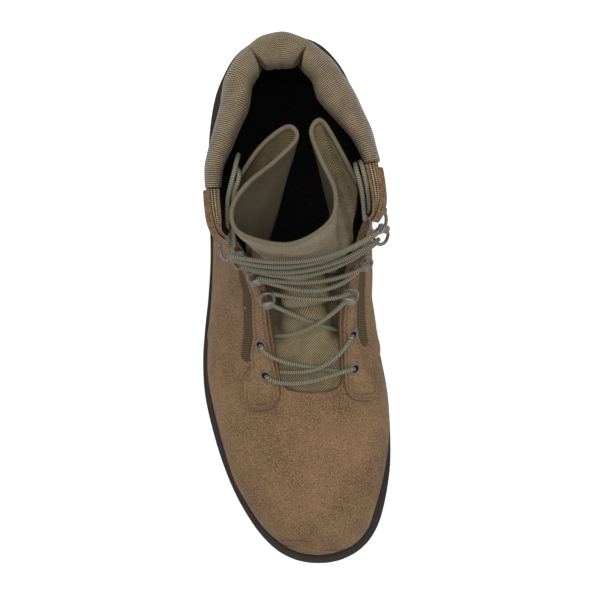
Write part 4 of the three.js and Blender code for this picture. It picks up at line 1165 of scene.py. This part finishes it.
def build_outsole(materials):
    """The sole and its lugs, a chevron bar between each two grooves of the heel and forefoot."""
    dress(make("outsole_unit", outsole_slab(), materials, angle=50), "rubber", "outsole")
    half = GROOVE_WIDTH / 2
    parts = []
    for start_y, grooves, end_y in ((HEEL_BREAST + 2.2, HEEL_GROOVES, 153.0),
                                    (-151.5, FOREFOOT_GROOVES, -1.0)):
        lows, highs = [start_y, *(grooves + half)], [*(grooves - half), end_y]
        for low, high in zip(lows, highs):
            parts += lug(low, high)
    return dress(make("tread_lugs", parts, materials), "rubber")


# ---- Eyelets and loops ----
def seat(name, side, offset):
    """Where a piece of hardware sits: its origin on the facing, the way across towards the
    throat, the way up the facing and the way out."""
    lateral, medial, inset = EYELETS[name]
    section = np.array(lateral if side < 0 else medial)
    turn = turn_at(FROM_EDGE[side], section, inset)
    origin, out = skin(section, turn, offset), last_normal(section, turn)
    towards = last_point(section, turn - side * 0.01) - last_point(section, turn)
    across = unit(towards - out * np.dot(towards, out))
    return origin, across, np.cross(out, across), out


def put(points, frame_axes):
    """Points given across, up and out of a piece's own place, put on the boot."""
    origin, across, up, out = frame_axes
    return (origin + points[..., :1] * across + points[..., 1:2] * up + points[..., 2:3] * out)


def eyelet_ring(name, side):
    """A rolled eyelet: its rounded rim turned about the hole, which a near-black disc closes as
    painted shade.
    """
    a = np.linspace(0, 2 * np.pi, 41)[:-1]
    rim = np.array([[0.0, -0.9], [3.3, -0.9], [3.6, 0.0], [3.65, 0.4], [3.4, 0.8], [3.0, 1.0],
                    [2.6, 0.9], [2.3, 0.6], [2.2, 0.3], [0.0, 0.25]])
    body = np.stack([rim[:, 0][:, None] * np.cos(a), rim[:, 0][:, None] * np.sin(a),
                     np.broadcast_to(rim[:, 1][:, None], (len(rim), len(a)))], -1)
    return put(body, seat(name, side, FACING_FACE - 0.1))


def build_eyelets(materials):
    """The four eyelets, each its rim and a near-black disc of painted shade over its hole."""
    made = []
    for name in EYELETS:
        for side, label in ((-1, "lateral"), (1, "medial")):
            body = eyelet_ring(name, side)
            # slot 1: the disc over the hole, near-black as painted shade
            parts = [grid(body[:9], wrap=True), grid(body[8:], wrap=True, slot=1)]
            obj = make(f"{name}_{label}_ring", parts, materials)
            made.append(dress(obj, "hardware", f"{name}_{label}"))
    return made


# Each loop as it lies: its ring's middle x, y, z, the way its round end points in degrees from
# straight forward, its slope down forward, its width and length, and where its plate is along it.
LOOPS = {
    ("loop_3", -1): (-16.2, 0.2, 111.0, 12, 30, 7.4, 8.6, 0.42),
    ("loop_3", 1): (30.2, 2.4, 109.5, -14, 30, 7.4, 8.6, 0.42),
    ("loop_4", -1): (-23.0, 12.4, 121.0, 18, 32, 7.0, 7.6, 0.40),
    ("loop_4", 1): (38.6, 20.6, 118.5, -22, 30, 6.4, 7.4, 0.40),
    ("loop_5", -1): (-31.0, 21.4, 137.0, 14, 25, 7.0, 8.6, -0.5),
    ("loop_5", 1): (46.6, 35.2, 135.0, -20, 22, 7.4, 9.4, -0.5),
    ("loop_6", -1): (-37.9, 27.4, 165.5, 6, 12, 7.2, 11.6, -0.5),
    ("loop_6", 1): (44.4, 42.4, 166.0, -8, 14, 8.4, 12.4, -0.5),
}


def loop_axes(name, side):
    x, y, z, swing, slope, wide, long, plate = LOOPS[name, side]
    swing, slope = math.radians(swing), math.radians(slope)
    forward = np.array([math.sin(swing) * math.cos(slope), -math.cos(swing) * math.cos(slope),
                        -math.sin(slope)])
    across = unit(np.cross(forward, [0.0, 0.0, 1.0]))
    return (np.array([x, y, z]), forward, across, np.cross(across, forward)), wide, long, plate


def loop_wire(name, side):
    """The wire of a lace loop: a long ring, a superellipse in the loop's plane, that starts and
    ends inside its plate."""
    axes, wide, long, plate = loop_axes(name, side)
    a = np.linspace(0.35, 2 * np.pi - 0.35, 60) + (0 if plate > 0 else np.pi)
    ring = np.stack([power(np.cos(a), 0.85) * long / 2, power(np.sin(a), 0.85) * wide / 2,
                     0.5 * np.cos(2 * a)], -1)
    return along_path(put(ring, axes), 0.4)


def loop_plate(name, side):
    """The plate that holds a loop's wire: a rounded oblong, domed over the wire's ends."""
    axes, wide, long, plate = loop_axes(name, side)
    a = np.linspace(0, 2 * np.pi, 49)[:-1]
    middle = np.array([plate * long, 0.0])
    shape = middle + np.stack([power(np.cos(a), 0.6) * 2.3, power(np.sin(a), 0.6) * wide * 0.46], -1)
    rows = []
    for scale, z in ((0.0, -1.5), (0.85, -1.5), (1.0, -1.1), (1.02, 0.0), (0.97, 0.8), (0.8, 1.25),
                     (0.4, 1.4), (0.0, 1.45)):
        flat = middle + (shape - middle) * scale
        rows.append(np.concatenate([flat, np.full((len(a), 1), z)], 1))
    return put(np.array(rows), axes)


def build_loops(materials):
    """The eight lace loops, each its wire and its plate."""
    made = []
    for name, side in LOOPS:
        label = "lateral" if side < 0 else "medial"
        parts = [tube(*loop_wire(name, side), 0.95, 14),
                 grid(loop_plate(name, side), wrap=True, slot=1)]
        obj = make(f"{name}_{label}_wire", parts, materials)
        made.append(dress(obj, "hardware", f"{name}_{label}"))
    return made


# ---- The lace ----
LACE_RADIUS = 1.25
TUCK = 9  # how many of a strand's places lie under an edge or in a loop
LACE_DOWN = 4.0  # how far a strand goes down an eyelet
EYE = np.array([2.0, 0.0, 1900.0])  # the strands are laid out as seen from here
PLAN_HEIGHT = 150.0  # and as they would lie at this height
# The strands across the throat, each laid over those before it: each end, how far the strand bows
# towards the toe, and the share of its run where it bows most. An end is an eyelet and its side;
# or a loop, its side and the bite's place from the ring's middle, as shares of the ring's length
# forward and of its width towards the throat; or the throat's edge, its side and the section
# where the strand slips under.
STRANDS = (
    (("eyelet_2", -1), ("under", 1, 8.1), 5.0, 0.25),
    (("eyelet_2", 1), ("under", -1, 8.1), 9.0, 0.4),
    (("eyelet_1", -1), ("eyelet_1", 1), 5.5, 0.35),
    (("loop_3", -1, 0.5, 0.3), ("under", 1, 9.4), 1.0, 0.5),
    (("under", -1, 9.3), ("loop_3", 1, 0.45, 0.2), 5.5, 0.5),
    (("loop_3", -1, -0.4, 0.3), ("loop_3", 1, -0.2, 0.1), 3.5, 0.6),
    (("loop_4", -1, 0.45, 0.4), ("loop_4", 1, 0.5, 0.3), 9.5, 0.6),
    (("loop_4", -1, 0.1, 0.2), ("loop_4", 1, 0.0, -0.3), 6.0, 0.55),
    (("loop_5", -1, 0.4, 0.1), ("loop_5", 1, 0.3, 0.0), 11.5, 0.5),
    (("loop_5", -1, 0.35, 0.0), ("loop_5", 1, 0.15, 0.0), 9.5, 0.5),
    (("loop_6", -1, 0.4, 0.0), ("loop_6", 1, 0.55, 0.0), 10.5, 0.5),
    (("loop_6", -1, 0.3, 0.0), ("loop_6", 1, 0.45, 0.0), 9.5, 0.55),
)


def strand_end(name, side, *place):
    """Where a strand's end lies, as a plan place: the point on its eyelet, loop or throat's edge,
    carried along the line from EYE to the plan's height."""
    if name == "under":
        section = np.array(place[0])
        point = skin(section, turn_at(FROM_EDGE[side], section, 0.5), 0.0)
    elif name in EYELETS:
        point = seat(name, side, FACING_FACE)[0]
    else:
        (middle, forward, across, _), wide, long, _ = loop_axes(name, side)
        point = middle + forward * place[0] * long + side * across * place[1] * wide
    return EYE[:2] + (point[:2] - EYE[:2]) * (EYE[2] - PLAN_HEIGHT) / (EYE[2] - point[2])


def strand_plan(first, last, sag, deepest):
    """A strand from above: the chord between its ends, moved forward by the bow
    sag * ((s / d)^d * ((1 - s) / (1 - d))^(1 - d))^2, which is sag at s = d and 0 at both ends."""
    s = np.linspace(0, 1, 25)
    start, end = strand_end(*first), strand_end(*last)
    bow = sag * ((s / deepest) ** deepest * ((1 - s) / (1 - deepest)) ** (1 - deepest)) ** 2
    chord = start + (end - start) * s[:, None]
    control = np.column_stack([chord[:, 0], chord[:, 1] - bow, np.zeros(len(s))])
    return curve(control, 0.7)[0][:, :2]


def drop(plan, z):
    """The point at height z that lies in line with a plan place as seen from above."""
    share = (EYE[2] - z) / (EYE[2] - PLAN_HEIGHT)
    xy = EYE[:2] + (plan - EYE[:2]) * share[..., None]
    return np.concatenate([xy, z[..., None]], -1)


def floor_under(plan, trees, radius):
    """The height at which a strand of that radius rests on what lies under each plan place."""
    heights = np.full(len(plan), 60.0)
    for k, target in enumerate(drop(plan, np.zeros(len(plan)))):
        way = Vector((target - EYE)).normalized()
        for tree in trees:
            hit, normal, _, _ = tree.ray_cast(Vector(EYE) * MM, way)
            if hit is not None:
                lift = radius / max(abs(normal.dot(way)), 0.45)
                heights[k] = max(heights[k], hit.z / MM + lift)
    return heights


def trees_of(objects):
    """Each object's faces, ready to be met by a ray."""
    trees = []
    for obj in objects:
        mesh = obj.data
        points = [v.co.copy() for v in mesh.vertices]
        trees.append(BVHTree.FromPolygons(points, [tuple(p.vertices) for p in mesh.polygons]))
    return trees


def lay_strand(entry, all_trees, low_trees, laid):
    """A taut strand: each height is the greater of what it rests on and the mean of its
    neighbours', repeated until it settles."""
    (first, *_), (last, *_) = entry[:2]
    plan = strand_plan(*entry)
    over = floor_under(plan, all_trees, LACE_RADIUS)
    low = floor_under(plan, low_trees, LACE_RADIUS)
    count = len(plan)
    for kind, part, end in ((first, slice(0, TUCK), 0), (last, slice(count - TUCK, count), -1)):
        if kind == "under":
            over[part] = low[part]
        elif kind.startswith("loop"):
            height = LOOPS[kind, -1 if plan[end, 0] < 2 else 1][2]
            over[part] = np.minimum(over[part], height + 3)
            over[end] = height
    for points in laid:
        gap = np.linalg.norm(drop(plan, over)[:, None, :2] - points[None, :, :2], axis=-1)
        near = 2 * LACE_RADIUS
        lift = np.sqrt(np.clip(near ** 2 - gap ** 2, 0, None))
        rest = np.where(gap < near, points[None, :, 2] + lift, 0).max(axis=1)
        over[4:-4] = np.maximum(over, rest)[4:-4]
    z = over.copy()
    for _ in range(1500):
        z[1:-1] = np.maximum(over[1:-1], (z[:-2] + z[2:]) / 2)
    for _ in range(6):
        z[1:-1] = (z[:-2] + 2 * z[1:-1] + z[2:]) / 4
    points = drop(plan, z)
    if first.startswith("eyelet"):
        points = np.concatenate([[points[0] - [0, 0, LACE_DOWN]], points])
    if last.startswith("eyelet"):
        points = np.concatenate([points, [points[-1] - [0, 0, LACE_DOWN]]])
    return points


def build_strands(all_objects, low_objects, materials):
    """The strands, each laid over what was laid before it."""
    all_trees, low_trees = trees_of(all_objects), trees_of(low_objects)
    laid, parts = [], []
    for entry in STRANDS:
        points = lay_strand(entry, all_trees, low_trees, laid)
        laid.append(points)
        parts.append(tube(*curve(points[::3], 0.6), LACE_RADIUS, 16))
    return dress(make("lace_across", parts, materials), "lace", "lace_crossings")


def build_free_lace(name, materials):
    """One free end: a limp cord along its route, as a round tube."""
    points, tangents = curve(LACE_ENDS[name], 0.6)
    obj = make(name + "_cord", [tube(points, tangents, LACE_RADIUS, 14)], materials)
    dress(obj, "lace", name)
    return obj


# ---- The add-on ----
def colour_property(label, words, value):
    return bpy.props.FloatVectorProperty(
        name=label, description=words, subtype="COLOR_GAMMA", size=3, min=0, max=1,
        default=[int(value[i:i + 2], 16) / 255 for i in (1, 3, 5)])


def hex_of(values):
    return "#" + "".join(f"{round(v * 255):02x}" for v in values)


def shaded(colour, factor):
    """A hex colour made darker or lighter by a factor."""
    parts = [int(colour[i:i + 2], 16) for i in (1, 3, 5)]
    return "#" + "".join(f"{max(0, min(255, round(p * factor))):02x}" for p in parts)


class BootFinishes(bpy.types.PropertyGroup):
    suede: colour_property("Suede", "Roughout suede of the upper and facings", "#735b43")
    collar: colour_property("Collar cloth", "Nylon over the collar's foam", "#746550")
    tongue: colour_property("Tongue cloth", "Nylon of the tongue", "#72654a")
    rubber: colour_property("Rubber", "Moulded rubber of the sole", "#1d1815")
    hardware: colour_property("Hardware", "Coated steel of eyelets and loops", "#655e59")
    lace: colour_property("Lace", "Braided lace", "#7e7a68")


class BootStage(bpy.types.PropertyGroup):
    camera_height: bpy.props.FloatProperty(
        name="Camera height", description="How far the camera is above the floor",
        default=EYE[2] * MM, unit="LENGTH", min=0.5)
    lens: bpy.props.FloatProperty(
        name="Lens", description="The camera's focal length", default=192.07, min=20,
        unit="CAMERA")
    floor: bpy.props.FloatProperty(
        name="Floor", description="Side of the square floor", default=6.0, unit="LENGTH", min=1)
    light: bpy.props.FloatProperty(
        name="Key light", description="Power of the large soft light", default=30.0,
        subtype="POWER", min=0)


def finish(name, kind, *values, **settings):
    """The material of that name, made the first time it is asked for."""
    found = bpy.data.materials.get(name)
    return found or kind(name, *values, **settings)


def suede_set(context):
    base = hex_of(context.scene.boot_finishes.suede)
    upper = finish("roughout_suede", suede, shaded(base, 0.6), base, shaded(base, 1.34),
                   ("#2b2318", "#5f523b"))
    facing = finish("roughout_suede_facing", suede, shaded(base, 0.62), shaded(base, 1.04),
                    shaded(base, 1.34))
    lining = finish("brushed_knit_lining", soft_finish, "#0c0a0b", "#1f1b19", grain=1.4)
    edge = finish("cut_suede_edge", soft_finish, "#4a3a2b", "#7d6449", grain=1.0, depth=0.5)
    sewing = finish("bonded_thread", soft_finish, "#5f4d39", "#7d674c", grain=0.6,
                    roughness=0.7, specular=0.2)
    return upper, facing, lining, edge, sewing


class BOOT_OT_stage(bpy.types.Operator):
    """Adds the camera, the floor and the lights"""
    bl_idname = "boot.stage"
    bl_label = "Stage"

    def execute(self, context):
        stage, scene = context.scene.boot_stage, context.scene
        data = bpy.data.cameras.new("camera")
        data.sensor_width, data.lens = 36.0, stage.lens
        data.clip_end = 100
        camera = bpy.data.objects.new("camera", data)
        camera.location = (EYE[0] * MM, EYE[1] * MM, stage.camera_height)
        scene.collection.objects.link(camera)
        scene.camera = camera
        half = stage.floor / 2
        mesh = bpy.data.meshes.new("studio_floor")
        mesh.from_pydata([(-half, -half, 0), (half, -half, 0), (half, half, 0), (-half, half, 0)],
                         [], [(0, 1, 2, 3)])
        paper = finish("backlit_white_paper", soft_finish, "#fdfdfd", "#ffffff", grain=3.0,
                       roughness=1.0, specular=0.0, depth=0.02)
        shader = paper.node_tree.nodes["Principled BSDF"]
        shader.inputs["Emission Color"].default_value = linear("#ffffff")
        shader.inputs["Emission Strength"].default_value = 0.35
        mesh.materials.append(paper)
        floor = bpy.data.objects.new("studio_floor", mesh)
        scene.collection.objects.link(floor)
        for name, place, size, power_share in (
                ("key_light", (-0.2, 0.35, 1.9), 1.4, 1.0),
                ("fill_light", (0.9, -0.7, 1.9), 2.0, 0.5)):
            lamp = bpy.data.lights.new(name, "AREA")
            lamp.size, lamp.energy = size, stage.light * power_share
            light = bpy.data.objects.new(name, lamp)
            light.location = place
            light.rotation_euler = (-Vector(place)).to_track_quat("-Z", "Y").to_euler()
            scene.collection.objects.link(light)
        world = bpy.data.worlds.new("studio_world")
        world.use_nodes = True
        background = world.node_tree.nodes["Background"]
        background.inputs["Color"].default_value = linear("#f7f8fa")
        background.inputs["Strength"].default_value = 0.45
        scene.world = world
        scene.view_settings.view_transform = "Standard"
        return {"FINISHED"}


class BOOT_OT_free_laces(bpy.types.Operator):
    """Adds the lace's four free ends"""
    bl_idname = "boot.free_laces"
    bl_label = "Free laces"

    def execute(self, context):
        material = lace_finish(context)
        for name in LACE_ENDS:
            build_free_lace(name, [material])
        return {"FINISHED"}


def collar_finish(context):
    base = hex_of(context.scene.boot_finishes.collar)
    return finish("collar_packcloth", nylon, shaded(base, 0.12), shaded(base, 1.5), pitch=1.05,
                  dots=0.8)


def lace_finish(context):
    base = hex_of(context.scene.boot_finishes.lace)
    return finish("braided_lace", braid, "#2c2a21", shaded(base, 0.85), shaded(base, 1.2))


class BOOT_OT_outsole(bpy.types.Operator):
    """Adds the rubber sole with its tread, and finishes the insole"""
    bl_idname = "boot.outsole"
    bl_label = "Outsole and insole"

    def execute(self, context):
        base = hex_of(context.scene.boot_finishes.rubber)
        rubber = finish("moulded_rubber", soft_finish, base, shaded(base, 1.4), grain=0.9,
                        roughness=0.6, specular=0.25, depth=0.12, patch=16, patch_share=0.4)
        build_outsole([rubber])
        insole = frame["nodes"]["insole"]
        cloth = suede_set(context)[2]
        for entry in insole.material_slots:
            entry.material = cloth
        return {"FINISHED"}


class BOOT_OT_upper(bpy.types.Operator):
    """Adds the suede upper with its nylon panels and sewing"""
    bl_idname = "boot.upper"
    bl_label = "Upper"

    def execute(self, context):
        upper, _, lining, edge, sewing = suede_set(context)
        dress(build_upper([upper, lining, edge, collar_finish(context)]), "suede", "upper")
        build_stitching([sewing])
        return {"FINISHED"}


class BOOT_OT_facings(bpy.types.Operator):
    """Adds the two facings beside the throat"""
    bl_idname = "boot.facings"
    bl_label = "Facings"

    def execute(self, context):
        _, facing, _, edge, sewing = suede_set(context)
        for side, name in ((-1, "facing_lateral_suede"), (1, "facing_medial_suede")):
            build_facing(side, name, [facing, edge, sewing])
        return {"FINISHED"}


class BOOT_OT_collar(bpy.types.Operator):
    """Adds the padded collar"""
    bl_idname = "boot.collar"
    bl_label = "Collar"

    def execute(self, context):
        build_collar([collar_finish(context)])
        return {"FINISHED"}


class BOOT_OT_tongue(bpy.types.Operator):
    """Adds the folded tongue and its bound edge"""
    bl_idname = "boot.tongue"
    bl_label = "Tongue"

    def execute(self, context):
        base = hex_of(context.scene.boot_finishes.tongue)
        cloth = finish("tongue_packcloth", nylon, shaded(base, 0.24), shaded(base, 1.32),
                       pitch=1.3, angle=-0.66, dots=0.12)
        # painted shade: the tongue's nylon in darker colours, for its underside and edges
        back = finish("tongue_backing", nylon, "#332c20", "#665b45", pitch=1.4)
        tape = finish("binding_tape", nylon, "#474031", "#746a51", pitch=0.9, depth=0.15)
        dark = finish("tongue_thread", soft_finish, "#2a251b", "#4a4232", grain=0.6,
                      roughness=0.7, specular=0.2)
        build_tongue([cloth, back, tape, dark])
        return {"FINISHED"}


class BOOT_OT_hardware(bpy.types.Operator):
    """Adds the eyelets and the lace loops"""
    bl_idname = "boot.hardware"
    bl_label = "Eyelets and loops"

    def execute(self, context):
        base = hex_of(context.scene.boot_finishes.hardware)
        wire = finish("coated_steel_wire", soft_finish, shaded(base, 0.8), shaded(base, 1.15),
                      grain=1.6, roughness=0.38, specular=0.5, depth=0.03, patch=5, metallic=0.45)
        plate = finish("coated_steel_plate", soft_finish, shaded(base, 0.95), shaded(base, 1.25),
                       grain=1.8, roughness=0.5, specular=0.5, depth=0.04, patch=5, metallic=0.3)
        ring = finish("painted_eyelet", soft_finish, "#4c443d", "#6b6057", grain=1.4,
                      roughness=0.5, specular=0.4, depth=0.05)
        # painted shade: the near-black colour of the disc that stands in for the eyelet's hole
        dark = finish("eyelet_sleeve", soft_finish, "#0b0a0a", "#191615", grain=1.0)
        build_eyelets([ring, dark])
        build_loops([wire, plate])
        return {"FINISHED"}


class BOOT_OT_lacing(bpy.types.Operator):
    """Runs the lace across the throat, through the eyelets and loops"""
    bl_idname = "boot.lacing"
    bl_label = "Lacing"

    def execute(self, context):
        objects = bpy.data.objects
        every = [objects[n] for n in ("bellows_tongue", "suede_upper", "facing_lateral_suede",
                                      "facing_medial_suede")]
        build_strands(every, every[:1], [lace_finish(context)])
        return {"FINISHED"}


class BOOT_PT_panel(bpy.types.Panel):
    """Lists the boot's pieces, sizes and colours"""
    bl_idname = "BOOT_PT_panel"
    bl_label = "Combat Boot"
    bl_space_type = "VIEW_3D"
    bl_region_type = "UI"
    bl_category = "Boot"

    def draw(self, context):
        for group in (context.scene.boot_stage, context.scene.boot_finishes):
            for name in group.__annotations__:
                self.layout.prop(group, name)
        for operator in OPERATORS:
            self.layout.operator(operator.bl_idname)


OPERATORS = (BOOT_OT_stage, BOOT_OT_free_laces, BOOT_OT_upper, BOOT_OT_facings, BOOT_OT_collar,
             BOOT_OT_tongue, BOOT_OT_outsole, BOOT_OT_hardware, BOOT_OT_lacing)
CLASSES = (BootFinishes, BootStage, *OPERATORS, BOOT_PT_panel)


def register():
    for cls in CLASSES:
        bpy.utils.register_class(cls)
    bpy.types.Scene.boot_finishes = bpy.props.PointerProperty(type=BootFinishes)
    bpy.types.Scene.boot_stage = bpy.props.PointerProperty(type=BootStage)


def unregister():
    del bpy.types.Scene.boot_stage
    del bpy.types.Scene.boot_finishes
    for cls in reversed(CLASSES):
        bpy.utils.unregister_class(cls)


def main():
    register()
    for operator in OPERATORS:
        area, name = operator.bl_idname.split(".")
        getattr(getattr(bpy.ops, area), name)()


if __name__ == "__main__":
    main()
